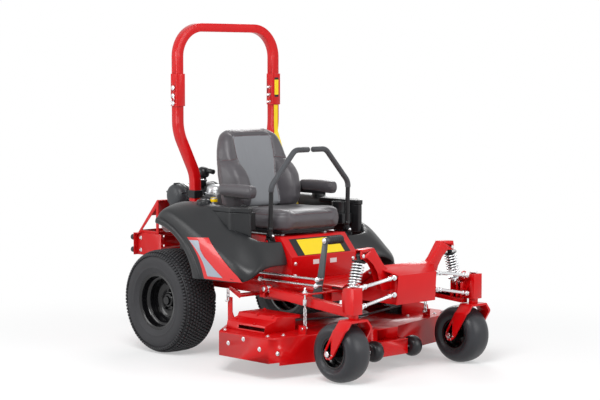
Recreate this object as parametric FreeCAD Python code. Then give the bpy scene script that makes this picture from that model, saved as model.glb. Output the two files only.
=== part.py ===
import FreeCAD, Part
import math
import os

# Zero turn mower: a rear-engined ride-on mower steered by two levers, on two driven rear wheels and
# two casters on sprung trailing arms, with a mowing deck slung between the axles. Millimetres, +X
# forward, +Y to the operator's left, +Z up from the ground. Stations are measured forward from the
# rear axle, and every finished piece is moved by AXLE_X so that the origin is under the centre.

# Wheels
WHEELBASE = 1407.0
REAR_R = 304.0
REAR_W = 240.0
REAR_TRACK_Y = 509.0
REAR_BEAD_R = 152.0
CASTER_R = 163.0
CASTER_W = 165.0
CASTER_Y = 475.0
CASTER_BEAD_R = 78.0
CASTER_TRAIL = 87.0
TYRE_CLEARANCE = 0.3
REAR_OVERHANG = 605.0

# Fits
PIN_CLEARANCE = 0.05
FACE_CLEARANCE = 0.3

# Frame
RAIL_Y = 275.0
RAIL_W = 50.0
RAIL_BOTTOM = 380.0
RAIL_H = 75.0
RAIL_WALL = 4.0
RAIL_REAR_X = -400.0
RAIL_FRONT_X = 1100.0
PLATE = 6.0
MOTOR_PLATE_Y = 318.0
MOTOR_FACE_Y = 340.0
AXLE_SHAFT_R = 19.0
SEAT_DECK_Z = 700.0

# Footwell and front end
FLOOR_Z = 470.0
FLOOR_FRONT_X = 1185.0
FLOOR_HALF_W = 255.0
RIDGE_X = WHEELBASE - 3
RIDGE_Z = 600.0
RIDGE_HALF_W = 232.0
COWL_FRONT_X = WHEELBASE + 103
COWL_LOW_Z = 551.0
FRONT_PLATE_LOW_Z = 392.0
FRONT_PLATE_HALF_W = 150.0
CRADLE_HALF_W = 140.0

# Seat riser
RISER_TOP_X = 682.0
RISER_LOW_X = 780.0
RISER_LOW_Z = 597.0
RISER_HALF_W = 257.0

# Front suspension
ARM_PIVOT_X = 750.0
ARM_PIVOT_Z = 434.0
ARM_REAR_Y = 415.0
ARM_FRONT_Y = 440.0
ARM_W = 44.0
ARM_H = 50.0
HOUSING_SIZE = 66.0
HOUSING_LOW_Z = 372.0
HOUSING_TOP_Z = 512.0
KINGPIN_R = 15.0
TOWER_REAR_X = WHEELBASE - 13
TOWER_FRONT_X = WHEELBASE + 33
SHOCK_TOP = (WHEELBASE + 10, 352.0, 667.0)
SHOCK_LOW = (WHEELBASE + 10, 410.0, 462.0)
SHOCK_BODY_R = 22.0
SHOCK_ROD_R = 7.0
SHOCK_BOLT_R = 6.0
SPRING_R = 31.5
SPRING_WIRE_R = 4.8
SPRING_TURNS = 7.5
ROD_R = 9.5
ROD_X = WHEELBASE + 83
UPPER_ROD_INNER = (170.0, 540.0)
UPPER_ROD_OUTER = (418.0, 506.0)
LOWER_ROD_INNER = (170.0, 449.0)
LOWER_ROD_OUTER = (418.0, 405.0)
ROD_EYE_R = 14.0
ROD_EYE_W = 22.0
ROD_BOLT_R = 6.0

# Caster forks
FORK_PLATE = 12.0
FORK_LEG_Y = 98.0
FORK_TOP_Z = 344.0
FORK_BAR_W = 78.0
CASTER_AXLE_R = 9.5

# Mowing deck
DECK_HALF_W = 750.0
DECK_REAR_X = 570.0
DECK_SIDE_REAR_X = 726.0
DECK_SIDE_FRONT_X = 1129.0
DECK_TOP_Z = 228.0
DECK_SIDE_LOW_Z = 95.0
DECK_FRONT_LOW_Z = 78.0
DECK_WALL = 5.0
SPINDLE_Y = DECK_HALF_W - 272
SPINDLE_X = 890.0
SPINDLE_STAGGER = 140.0
BLADE_TIP_R = SPINDLE_Y / 2 + 1
BLADE_Z = 108.0
BLADE_T = 6.0
BLADE_W = 64.0
SPINDLE_R = 12.5
ROLLER_R = 59.0
ROLLER_W = 78.0
ROLLER_X = 1328.0
ROLLER_Y = 152.0
ROLLER_AXLE_R = 8.0
COVER_TOP_Z = 312.0

# Lift linkage
PEDAL_X = 1066.0
PEDAL_Y = 340.0
PEDAL_Z = 400.0
PEDAL_TOP_Z = 726.0
CRANK_X = 664.0
CRANK_Z = 400.0
HANGER_Y = 560.0
LIFT_ROD_R = 6.5
CRANK_SHAFT_R = 12.0
PEDAL_SHAFT_R = 10.0

# Roll-over bar
ROPS_Y = 380.0
ROPS_X = -80.0
ROPS_TUBE = 50.0
ROPS_WALL = 4.0
ROPS_TOP_Z = 1930.0
ROPS_HINGE_Z = 1547.0
ROPS_CORNER_R = 175.0
ROPS_SPLIT_GAP = 33.0
ROPS_PIN_R = 9.0
BRACKET_LOW_Z = 1439.0
BRACKET_TOP_Z = 1630.0
BRACKET_T = 6.0
ROPS_FOOT_X = -50.0
ROPS_FOOT_Y = 274.0

# Seat
SEAT_HALF_W = 266.0
SEAT_CORNER_R = 110.0
SEAT_FRONT_X = 702.0
SEAT_REAR_X = 176.0
SEAT_LOW_Z = 742.0
SEAT_TOP_Z = 838.0
BACK_TOP_Z = 1310.0
BACK_TOP_X = 88.0
BACK_HALF_W = 276.0
ARMREST_Y = 320.0
ARMREST_W = 62.0
ARMREST_FRONT_X = 536.0
ARMREST_REAR_X = 236.0
ARMREST_TOP_Z = 988.0
ARMREST_H = 70.0

# Drive levers
LEVER_X = 653.0
LEVER_Y = 305.0
LEVER_Z = 716.0
LEVER_ELBOW_Z = 998.0
LEVER_KNEE_Y = 121.0
LEVER_TOP_Z = 1196.0
LEVER_TIP_Y = 12.0
LEVER_R = 13.0
GRIP_R = 16.0

# Rear end
BUMPER_X = -575.0
BUMPER_HALF_W = 336.0
BUMPER_LOW_Z = 515.0
BUMPER_TOP_Z = 652.0
GUARD_TOP_X = -384.0
GUARD_TOP_Z = 862.0
GUARD_HALF_W = 300.0
HITCH_BOLT_R = 6.5
HITCH_SPACING_Y = 200.0
HITCH_SPACING_Z = 60.0
ENGINE_PLATE_T = 6.0
CRANK_PULLEY_X = -250.0

# Fenders
FENDER_IN_Y = 412.0
FENDER_WALL = 5.0
ARCH_R = 345.0

AXLE_X = (REAR_OVERHANG - WHEELBASE - CASTER_R) / 2
KINGPIN_X = WHEELBASE + CASTER_TRAIL
SIDES = (("right", -1.0), ("left", 1.0))
X_AXIS = FreeCAD.Vector(1, 0, 0)
Y_AXIS = FreeCAD.Vector(0, 1, 0)
Z_AXIS = FreeCAD.Vector(0, 0, 1)

os.makedirs("parts", exist_ok=True)


def vec(x, y, z):
    return FreeCAD.Vector(x, y, z)


def block(x0, x1, y0, y1, z0, z1):
    """A rectangular solid between two corners, given in any order."""
    low = vec(min(x0, x1), min(y0, y1), min(z0, z1))
    return Part.makeBox(abs(x1 - x0), abs(y1 - y0), abs(z1 - z0), low)


def rod(start, end, radius):
    """A round bar between two points."""
    way = end - start
    return Part.makeCylinder(radius, way.Length, start, way)


def prism(points, axis, low, high):
    """A straight solid over a flat outline. For axis y the outline is (x, z), for x (y, z), for z (x, y)."""
    place = {"x": lambda a, b: vec(low, a, b), "y": lambda a, b: vec(a, low, b), "z": lambda a,
             b: vec(a, b, low)}
    way = {"x": X_AXIS, "y": Y_AXIS, "z": Z_AXIS}[axis]
    corners = [place[axis](a, b) for a, b in points]
    face = Part.Face(Part.makePolygon(corners + corners[:1]))
    return face.extrude(way * (high - low))


def side_prism(points, y0, y1):
    """An (x, z) outline between two distances from the centre plane, on the right when they are negative."""
    return prism(points, "y", min(y0, y1), max(y0, y1))


def turned(profile, centre, axis):
    """A solid of revolution over a closed (radius, height) outline, height along the axis."""
    corners = [vec(r, 0, h) for r, h in profile]
    solid = Part.Face(Part.makePolygon(corners + corners[:1])).revolve(vec(0, 0, 0), Z_AXIS, 360)
    solid.Placement = FreeCAD.Placement(centre, FreeCAD.Rotation(Z_AXIS, axis))
    return solid


def fuse(shapes):
    """One body from several that share faces or overlap."""
    body = shapes[0]
    for other in shapes[1:]:
        body = body.fuse(other)
    return body.removeSplitter()


def welded(shapes):
    """Plates that meet at their welds: each is trimmed where an earlier one already stands."""
    kept = []
    for shape in shapes:
        for other in kept:
            shape = shape.cut(other)
        kept.extend(shape.Solids)
    return kept


def group(shapes):
    """Separate solids kept side by side in one piece of the assembly."""
    solids = []
    for shape in shapes:
        solids.extend(shape.Solids)
    return Part.makeCompound(solids)


def mirrored(shape):
    """The same piece on the other side of the machine."""
    return shape.mirror(vec(0, 0, 0), Y_AXIS)


def bent_path(corners, radii):
    """Straight runs joined by tangent arcs, one radius for each inner corner."""
    edges = []
    start = corners[0]
    for index, radius in enumerate(radii):
        before, corner, after = corners[index], corners[index + 1], corners[index + 2]
        back = (before - corner).normalize()
        ahead = (after - corner).normalize()
        half = back.getAngle(ahead) / 2
        reach = radius / math.tan(half)
        enter = corner + back * reach
        leave = corner + ahead * reach
        centre = corner + (back + ahead).normalize() * (radius / math.sin(half))
        middle = centre + (corner - centre).normalize() * radius
        edges.append(Part.LineSegment(start, enter).toShape())
        edges.append(Part.Arc(enter, middle, leave).toShape())
        start = leave
    edges.append(Part.LineSegment(start, corners[-1]).toShape())
    return Part.Wire(edges)


def swept(path, profile):
    return path.makePipeShell([profile], True, False)


def round_tube(corners, radii, radius):
    """A bent round bar."""
    way = corners[1] - corners[0]
    circle = Part.Wire(Part.Circle(corners[0], way, radius).toShape())
    return swept(bent_path(corners, radii), circle)


def square_outline(centre, way, across, size):
    """A square wire of the given size, square to the path and in line with the across direction."""
    other = way.cross(across).normalize()
    half = size / 2
    marks = ((-half, -half), (half, -half), (half, half), (-half, half))
    corners = [centre + across * a + other * b for a, b in marks]
    return Part.makePolygon(corners + corners[:1])


def square_tube(corners, radii, across, size, wall):
    """A bent hollow square tube."""
    path = bent_path(corners, radii)
    way = (corners[1] - corners[0]).normalize()
    outer = swept(path, square_outline(corners[0], way, across, size))
    inner = swept(path, square_outline(corners[0], way, across, size - 2 * wall))
    return outer.cut(inner)


def hex_head(base, way, radius, height):
    """A bolt head or nut standing on its base point."""
    corners = [vec(radius * math.cos(math.radians(60 * n)), radius * math.sin(math.radians(60 * n)), 0)
               for n in range(6)]
    head = Part.Face(Part.makePolygon(corners + corners[:1])).extrude(Z_AXIS * height)
    head.Placement = FreeCAD.Placement(base, FreeCAD.Rotation(Z_AXIS, way))
    return head


def save(name, shape):
    """Write one piece of the assembly."""
    placed = shape.copy()
    placed.translate(vec(AXLE_X, 0, 0))
    placed.exportStep("parts/" + name + ".step")


def save_pair(name, right_shape):
    """Write a right-hand piece and its mirror image."""
    save(name + "_right", right_shape)
    save(name + "_left", mirrored(right_shape))


# Rear wheels: turf tyres on deep-dished pressed rims, driven by hydraulic motors in the frame
RIM_FLANGE_R = 165.0
RIM_WALL = 4.0
REAR_SHOULDER = 46.0
HUB_R = 72.0
HUB_T = 14.0
HUB_BOLT_PCD = 114.3
WHEEL_STUD_R = 6.0
BEAD_W = 190.0
DISC_INNER_Y = -8.0


def tyre(radius, width, bead_r, bead_w, shoulder, centre):
    """A tyre with rounded shoulders and bulging walls, closed at its beads."""
    half = width / 2
    bead = bead_w / 2
    crown = radius - 5.0
    outline = [(bead_r, -bead), (bead_r + 14, -bead), (radius - shoulder * 1.7, -half),
               (radius - shoulder, -half + 2)]
    outline += [(radius - shoulder * 0.3, -half + shoulder * 0.35), (crown, -half + shoulder * 0.8),
                (radius, 0)]
    outline += [(r, -h) for r, h in reversed(outline[:-1])]
    return turned(outline, centre, Y_AXIS)


def rim(bead_r, bead_w, flange_r, wall, disc_y, disc_r, drop, centre, outward):
    """A pressed rim: two flanges, a drop centre and a disc set to one side of it."""
    half = bead_w / 2
    outer = [(flange_r, -half - wall), (flange_r, -half), (bead_r, -half), (bead_r, -half * 0.62)]
    outer += [(bead_r - drop, -half * 0.4), (bead_r - drop, half * 0.4)]
    outer += [(bead_r, half * 0.62), (bead_r, half), (flange_r, half), (flange_r, half + wall)]
    inner = [(r - wall, h) for r, h in outer[2:-2]]
    inner = [(bead_r - wall, -half - wall)] + inner[1:-1] + [(bead_r - wall, half + wall)]
    shell = turned(outer + list(reversed(inner)), centre, Y_AXIS * outward)
    disc_face = centre + Y_AXIS * (outward * disc_y)
    disc = rod(disc_face, disc_face + Y_AXIS * (outward * wall * 1.5), bead_r - drop - wall / 2)
    disc = disc.cut(rod(disc_face, disc_face + Y_AXIS * (outward * wall * 1.5), disc_r))
    return shell.fuse(disc).removeSplitter()


def rear_wheel(side):
    """Tyre, rim and hub of one rear wheel. The dish opens outwards."""
    centre = vec(0, side * REAR_TRACK_Y, REAR_R)
    out = Y_AXIS * side
    bead_r = REAR_BEAD_R + TYRE_CLEARANCE
    rubber = tyre(REAR_R, REAR_W, bead_r, BEAD_W - 2 * TYRE_CLEARANCE, REAR_SHOULDER, centre)
    steel = rim(REAR_BEAD_R, BEAD_W, RIM_FLANGE_R, RIM_WALL, DISC_INNER_Y, HUB_R - 30, 20.0, centre, side)
    disc_back = centre + out * DISC_INNER_Y
    disc_front = disc_back + out * (RIM_WALL * 1.5)
    flange = rod(disc_back - out * HUB_T, disc_back, HUB_R)
    shaft_end = vec(0, side * (MOTOR_FACE_Y - 30), REAR_R)
    shaft = rod(shaft_end, disc_back - out * HUB_T, AXLE_SHAFT_R)
    nose = rod(disc_back, disc_front + out * 26, HUB_R - 30 - TYRE_CLEARANCE)
    hub = fuse([flange, shaft, nose])
    nuts = []
    holes = []
    for n in range(5):
        angle = math.radians(72 * n + 90)
        spot = vec(math.cos(angle), 0, math.sin(angle)) * (HUB_BOLT_PCD / 2)
        holes.append(rod(disc_back + spot, disc_front + spot, WHEEL_STUD_R + PIN_CLEARANCE))
        nuts.append(rod(disc_back + spot, disc_front + spot + out * 16, WHEEL_STUD_R))
        nuts.append(hex_head(disc_front + spot, out, 11.0, 12.0).cut(nuts[-1]))
    for hole in holes:
        steel = steel.cut(hole)
    return rubber, group([steel, hub] + nuts)


for label, side in SIDES:
    rubber, steel = rear_wheel(side)
    save("rear_tyre_" + label, rubber)
    save("rear_rim_" + label, steel)


# Frame: two rectangular rails, cross tubes, the transmission plates and the outriggers of the front arms
MOTOR_R = 62.0
CROSS_TUBE_H = 50.0
CROSS_STATIONS = (-375.0, -150.0, 230.0, 620.0)
OUTRIGGER_X0 = 708.0
OUTRIGGER_X1 = 730.0
OUTRIGGER_H = 44.0
PIVOT_EAR_T = 8.0
PIVOT_EYE_R = 19.0
PIVOT_EYE_W = 26.0
PIVOT_BOLT_R = 8.0


def hollow_beam(x0, x1, y0, y1, z0, z1, axis, wall):
    """A rectangular tube, open at both ends along its axis."""
    margins = {"x": (0, wall, wall), "y": (wall, 0, wall)}[axis]
    dx, dy, dz = margins
    return block(x0, x1, y0, y1, z0, z1).cut(block(x0 + dx, x1 - dx, y0 + dy, y1 - dy, z0 + dz, z1 - dz))


def frame_rail():
    """The right rail with its transmission plate, arm outrigger and seat post."""
    y0 = -RAIL_Y - RAIL_W / 2
    y1 = -RAIL_Y + RAIL_W / 2
    top = RAIL_BOTTOM + RAIL_H
    rail = hollow_beam(RAIL_REAR_X, RAIL_FRONT_X, y0, y1, RAIL_BOTTOM, top, "x", RAIL_WALL)
    plate_out = -MOTOR_PLATE_Y
    outline = [(-170, top), (170, top), (170, RAIL_BOTTOM), (95, REAR_R - 75), (-95, REAR_R - 75),
               (-170, RAIL_BOTTOM)]
    plate = side_prism(outline, plate_out, plate_out + PLATE)
    spacer = block(-150, 150, plate_out + PLATE, y0, RAIL_BOTTOM + 5, top - 5)
    seat = rod(vec(0, plate_out - 1, REAR_R), vec(0, plate_out + PLATE + 1, REAR_R), MOTOR_R - 12)
    plate = plate.cut(seat)
    ear_out = -ARM_REAR_Y - PIVOT_EYE_W / 2 - FACE_CLEARANCE
    ear_in = -ARM_REAR_Y + PIVOT_EYE_W / 2 + FACE_CLEARANCE
    beam_low = RAIL_BOTTOM + 5
    beam_top = beam_low + OUTRIGGER_H
    beam = block(OUTRIGGER_X0, OUTRIGGER_X1, ear_out - PIVOT_EAR_T, y0, beam_low, beam_top)
    beam = beam.cut(block(OUTRIGGER_X0 + 5, OUTRIGGER_X1 - 5, ear_out, y0, beam_low + 5, beam_top - 5))
    shapes = [rail, spacer, plate, beam]
    for edge in (ear_out - PIVOT_EAR_T, ear_in):
        ear = block(OUTRIGGER_X0, ARM_PIVOT_X, edge, edge + PIVOT_EAR_T, beam_low,
                    ARM_PIVOT_Z + OUTRIGGER_H / 2)
        tip = rod(vec(ARM_PIVOT_X, edge, ARM_PIVOT_Z), vec(ARM_PIVOT_X, edge + PIVOT_EAR_T, ARM_PIVOT_Z),
                  OUTRIGGER_H / 2)
        shapes.append(ear.fuse(tip))
    frame = fuse(shapes)
    bolt = rod(vec(ARM_PIVOT_X, ear_out - 20, ARM_PIVOT_Z), vec(ARM_PIVOT_X, ear_in + 20, ARM_PIVOT_Z),
               PIVOT_BOLT_R)
    return frame.cut(bolt)


def pivot_bolt(start, end, radius, way):
    """A bolt through a pivot: shank, head and nut as one piece of hardware."""
    head = hex_head(start - way * radius, way, radius * 1.75, radius)
    nut = hex_head(end, way, radius * 1.7, radius)
    return fuse([rod(start, end, radius), head, nut])


def cross_members():
    """The cross tubes between the rails and the rear cross plate."""
    half = RAIL_Y - RAIL_W / 2
    tubes = []
    for x in CROSS_STATIONS:
        low = RAIL_BOTTOM + (RAIL_H - CROSS_TUBE_H) / 2
        tubes.append(hollow_beam(x - 25, x + 25, -half, half, low, low + CROSS_TUBE_H, "y", RAIL_WALL))
    return group(tubes)


def wheel_motor(side):
    """A cast hydraulic motor: flange, ribbed body and the bearing nose that the wheel shaft turns in."""
    out = Y_AXIS * side
    face = vec(0, side * MOTOR_PLATE_Y, REAR_R)
    nose_end = vec(0, side * (MOTOR_FACE_Y + 40), REAR_R)
    flange = rod(face, face + out * 16, MOTOR_R + 14)
    nose = rod(face, nose_end, MOTOR_R - 20)
    body = rod(face - out * 120, face, MOTOR_R - 13)
    port = block(-42, 42, face.y - side * 40, face.y - side * 95, REAR_R - 10, REAR_R + 66)
    motor = fuse([flange, nose, body, port])
    return motor.cut(rod(vec(0, side * (MOTOR_FACE_Y - 31), REAR_R), nose_end + out,
                         AXLE_SHAFT_R + PIN_CLEARANCE))


right_rail = frame_rail()
crank_hole = rod(vec(CRANK_X, -400, CRANK_Z), vec(CRANK_X, 400, CRANK_Z), CRANK_SHAFT_R + PIN_CLEARANCE)
pedal_hole = rod(vec(PEDAL_X, -400, PEDAL_Z), vec(PEDAL_X, 0, PEDAL_Z), PEDAL_SHAFT_R + PIN_CLEARANCE)
engine_plate = block(RAIL_REAR_X + 40, -5, -RAIL_Y, RAIL_Y, RAIL_BOTTOM + RAIL_H,
                     RAIL_BOTTOM + RAIL_H + ENGINE_PLATE_T)
shaft_slot = block(CRANK_PULLEY_X - 30, CRANK_PULLEY_X + 30, -30, 30, 0, 600)
left_rail = mirrored(right_rail).cut(crank_hole)
right_rail = right_rail.cut(crank_hole).cut(pedal_hole)
save("frame_rails", group([right_rail, left_rail, cross_members(), engine_plate.cut(shaft_slot)]))
save("wheel_motors", group([wheel_motor(side) for label, side in SIDES]))


# Front end: welded cradle, folded cowl and footwell, seat riser and the shock tower with its two horns
SHEET = 5.0
CRADLE_REAR_X = 1100.0
CRADLE_PLATE = 6.0
TOWER_BASE_Z = 470.0
TOWER_BASE_IN_Y = 146.0
TOWER_BASE_OUT_Y = 206.0
RISER_REAR_X = 190.0
HANGER_BRACKET_X = 1125.0
HANGER_BRACKET_Y = 478.0
HANGER_HOLE_R = 13.5
SHOCK_TOP_POINT = vec(SHOCK_TOP[0], -SHOCK_TOP[1], SHOCK_TOP[2])
SHOCK_LOW_POINT = vec(SHOCK_LOW[0], -SHOCK_LOW[1], SHOCK_LOW[2])
SHOCK_LENGTH = (SHOCK_LOW_POINT - SHOCK_TOP_POINT).Length
SHOCK_WAY = (SHOCK_LOW_POINT - SHOCK_TOP_POINT).normalize()
PERCH_R = SPRING_R + SPRING_WIRE_R + 1
PERCH_IN = 30.0


def folded(points, thickness):
    """The closed outline of a folded sheet: the given line, and the same line set in on its left."""
    ways = []
    for (a0, b0), (a1, b1) in zip(points, points[1:]):
        length = math.hypot(a1 - a0, b1 - b0)
        ways.append(((a1 - a0) / length, (b1 - b0) / length))
    inner = []
    for index, (a, b) in enumerate(points):
        before = ways[max(index - 1, 0)]
        after = ways[min(index, len(ways) - 1)]
        mitre = 1 + before[0] * after[0] + before[1] * after[1]
        inner.append((a - thickness * (before[1] + after[1]) / mitre,
                      b + thickness * (before[0] + after[0]) / mitre))
    return list(points) + list(reversed(inner))


def tower_outline():
    """Half of the shock tower seen from the front, as (distance from centre, height)."""
    eye_y, eye_z = SHOCK_TOP[1], SHOCK_TOP[2]
    inner = [(TOWER_BASE_IN_Y, TOWER_BASE_Z), (TOWER_BASE_IN_Y, RIDGE_Z - 30),
             (RIDGE_HALF_W - 32, RIDGE_Z + 18)]
    top = [(eye_y - 84, eye_z + 38), (eye_y + 12, eye_z + 34), (eye_y + 17, eye_z + 10),
           (eye_y + 14, eye_z - 17)]
    outer = [(eye_y - 34, eye_z - 14), (eye_y - 80, eye_z - 52), (eye_y - 112, eye_z - 98)]
    return inner + top + outer + [(TOWER_BASE_OUT_Y, TOWER_BASE_Z)]


def along_shock(distance):
    """A point on the right shock absorber's line, measured down from its upper eye."""
    return SHOCK_TOP_POINT + SHOCK_WAY * distance


def tower_horn():
    """The right horn: two plates joined along their inner and upper edges, open below for the shock."""
    outline = [(-y, z) for y, z in tower_outline()]
    solid = prism(outline, "x", TOWER_REAR_X, TOWER_FRONT_X)
    inside = [(-y - 4, z - 5) for y, z in tower_outline()[:4]]
    inside += [(-SHOCK_TOP[1] - 40, SHOCK_TOP[2] + 27), (-SHOCK_TOP[1] - 40, TOWER_BASE_Z - 10)]
    hollow = prism([(inside[0][0], TOWER_BASE_Z - 10)] + inside, "x", TOWER_REAR_X + SHEET,
                   TOWER_FRONT_X - SHEET)
    bolt = rod(SHOCK_TOP_POINT - X_AXIS * 60, SHOCK_TOP_POINT + X_AXIS * 60, SHOCK_BOLT_R)
    spring_room = rod(along_shock(PERCH_IN - 4), along_shock(SHOCK_LENGTH), PERCH_R + 4)
    return solid.cut(hollow).cut(bolt).cut(spring_room)


def shock_tower():
    web = prism([(-TOWER_BASE_IN_Y - 1, TOWER_BASE_Z), (TOWER_BASE_IN_Y + 1, TOWER_BASE_Z),
                 (TOWER_BASE_IN_Y + 1, RIDGE_Z - 30), (-TOWER_BASE_IN_Y - 1, RIDGE_Z - 30)],
                "x", TOWER_REAR_X, TOWER_REAR_X + SHEET)
    slots = block(TOWER_REAR_X - 1, TOWER_REAR_X + SHEET + 1, -CRADLE_HALF_W - CRADLE_PLATE, -CRADLE_HALF_W,
                  TOWER_BASE_Z - 1, RIDGE_Z)
    web = web.cut(slots).cut(mirrored(slots))
    horn = tower_horn()
    return fuse([horn, mirrored(horn), web])


def front_cowl(tower):
    """Footrest, ridge, front slope and the bare front plate, folded from one sheet."""
    front_low_x = COWL_FRONT_X - 9
    line = [(FLOOR_FRONT_X, FLOOR_Z), (RIDGE_X, RIDGE_Z), (COWL_FRONT_X, COWL_LOW_Z),
            (front_low_x, FRONT_PLATE_LOW_Z)]
    sheet = side_prism(folded(line, -SHEET), -FLOOR_HALF_W, FLOOR_HALF_W)
    plan = [(FLOOR_FRONT_X - 20, FLOOR_HALF_W), (FLOOR_FRONT_X, FLOOR_HALF_W), (RIDGE_X, RIDGE_HALF_W)]
    plan += [(COWL_FRONT_X - 13, FRONT_PLATE_HALF_W + 4), (COWL_FRONT_X - 9, FRONT_PLATE_HALF_W),
             (COWL_FRONT_X + 5, FRONT_PLATE_HALF_W)]
    plan += [(x, -y) for x, y in reversed(plan)]
    sheet = sheet.common(prism(plan, "z", FRONT_PLATE_LOW_Z - 10, RIDGE_Z + 10))
    for side in (-1.0, 1.0):
        outline = [(side * y, z) for y, z in tower_outline()]
        sheet = sheet.cut(prism(outline, "x", TOWER_REAR_X, TOWER_FRONT_X))
    return sheet.cut(tower)


def front_cradle():
    """Side plates, bottom plate and the cross tube that ties them to the rails."""
    edge = CRADLE_HALF_W
    front = COWL_FRONT_X - SHEET - 10
    outline = [(CRADLE_REAR_X + 50, FRONT_PLATE_LOW_Z), (front - 6, FRONT_PLATE_LOW_Z),
               (front, COWL_LOW_Z - 8)]
    outline += [(RIDGE_X, RIDGE_Z - 12), (FLOOR_FRONT_X + 6, FLOOR_Z - 8),
                (CRADLE_REAR_X + 50, FLOOR_Z - 8)]
    shapes = [side_prism(outline, side * edge, side * (edge + CRADLE_PLATE)) for side in (-1.0, 1.0)]
    shapes.append(block(CRADLE_REAR_X + 50, front - 6, -edge, edge, FRONT_PLATE_LOW_Z,
                        FRONT_PLATE_LOW_Z + CRADLE_PLATE))
    tube_half = RAIL_Y + RAIL_W / 2
    shapes.append(hollow_beam(CRADLE_REAR_X, CRADLE_REAR_X + 50, -tube_half, tube_half, RAIL_BOTTOM + 10,
                              RAIL_BOTTOM + 70, "y", RAIL_WALL))
    for side in (-1.0, 1.0):
        for y, z in (UPPER_ROD_INNER, LOWER_ROD_INNER):
            back = ROD_X - ROD_EYE_W / 2 - FACE_CLEARANCE
            tab = block(back - CRADLE_PLATE, back, side * (edge + 1), side * y, z - ROD_EYE_R - 2,
                        z + ROD_EYE_R + 2)
            tip = rod(vec(back - CRADLE_PLATE, side * y, z), vec(back, side * y, z), ROD_EYE_R + 2)
            hole = rod(vec(back - 20, side * y, z), vec(back + 20, side * y, z), ROD_BOLT_R)
            shapes.append(tab.fuse(tip).cut(hole))
        front_x = CRADLE_REAR_X + 50
        strap = block(front_x, front_x + 12, side * 250, side * (HANGER_BRACKET_Y + 20), 442, 450)
        tab = block(HANGER_BRACKET_X - 20, front_x + 12, side * (HANGER_BRACKET_Y - 20),
                    side * (HANGER_BRACKET_Y + 20), 444, 450)
        hole = rod(vec(HANGER_BRACKET_X, side * HANGER_BRACKET_Y, 440),
                   vec(HANGER_BRACKET_X, side * HANGER_BRACKET_Y, 460), HANGER_HOLE_R)
        shapes.append(strap.fuse(tab).cut(hole))
    return fuse(shapes)


def floor_pan():
    """The footwell plate with a lip along each rail."""
    x0, x1 = RISER_LOW_X, FLOOR_FRONT_X
    plate = block(x0, x1, -FLOOR_HALF_W, FLOOR_HALF_W, FLOOR_Z - SHEET, FLOOR_Z)
    lips = [block(x0, CRADLE_REAR_X, side * (FLOOR_HALF_W - SHEET), side * FLOOR_HALF_W,
                  RAIL_BOTTOM + RAIL_H,
                  FLOOR_Z - SHEET) for side in (-1.0, 1.0)]
    ribs = [block(x0 + 20, x1 - 20, y - 6, y + 6, FLOOR_Z, FLOOR_Z + 3) for y in range(-200, 201, 50)]
    return fuse([plate] + lips + ribs)


def seat_riser():
    """Folded seat base: sloping front panel, top deck and side walls that stand on the rails."""
    line = [(RISER_LOW_X, RAIL_BOTTOM + RAIL_H), (RISER_LOW_X, RISER_LOW_Z),
            (RISER_TOP_X, SEAT_DECK_Z + SHEET)]
    line += [(RISER_REAR_X, SEAT_DECK_Z + SHEET), (RISER_REAR_X, RAIL_BOTTOM + RAIL_H)]
    front = side_prism(folded(line, SHEET), -RISER_HALF_W, RISER_HALF_W)
    walls = []
    for side in (-1.0, 1.0):
        walls.append(side_prism(line, side * (RISER_HALF_W - SHEET), side * RISER_HALF_W))
    return fuse([front] + walls)


tower = shock_tower()
save("shock_tower", tower)
save("front_cowl", front_cowl(tower))
save("front_cradle", front_cradle())
save("floor_pan", floor_pan())


# Front suspension: trailing arms, lateral rods, shock absorbers and their springs
ARM_BAR_REAR_X = 790.0
ARM_BAR_REAR_Z = 420.0
ARM_BAR_FRONT_Z = 372.0
SHOCK_EAR_HALF = 18.0
SHOCK_EYE_W = 30.0
SHOCK_EYE_R = 15.0
SHOCK_LOW_BORE_R = 9.6
SHOCK_BODY_END = 125.0
SHOCK_BORE_START = 60.0
SHOCK_ROD_START = 92.0
PERCH_T = 7.0
NUT_HOLE_R = 18.5
ROD_TAB_R = 23.5
EYE_NUT_R = 10.0
OUTER_TAB_GAP = 4.5
HOUSING_WALL = 7.0
HOUSING_COLLAR = 22.0


def solid_between(rear, front):
    """A straight bar between two upright rectangles, each given as (x, y low, y high, z low, z high)."""
    wires = []
    for x, y0, y1, z0, z1 in (rear, front):
        corners = [vec(x, y0, z0), vec(x, y1, z0), vec(x, y1, z1), vec(x, y0, z1)]
        wires.append(Part.makePolygon(corners + corners[:1]))
    return Part.makeLoft(wires, True, True)


def arm_rod_tabs(half):
    """The two tabs inside the kingpin housing that carry the rods' outer eyes."""
    tab_x1 = ROD_X - ROD_EYE_W / 2 - OUTER_TAB_GAP
    tabs = []
    for y, z in (UPPER_ROD_OUTER, LOWER_ROD_OUTER):
        tab = block(tab_x1 - PLATE, tab_x1, -CASTER_Y + half - 1, -y, z - ROD_TAB_R,
                    min(z + ROD_TAB_R, HOUSING_TOP_Z))
        tip = rod(vec(tab_x1 - PLATE, -y, z), vec(tab_x1, -y, z), ROD_TAB_R)
        hole = rod(vec(tab_x1 - 40, -y, z), vec(tab_x1 + 10, -y, z), NUT_HOLE_R)
        tabs.append(tab.fuse(tip).cut(hole))
    return tabs


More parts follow.
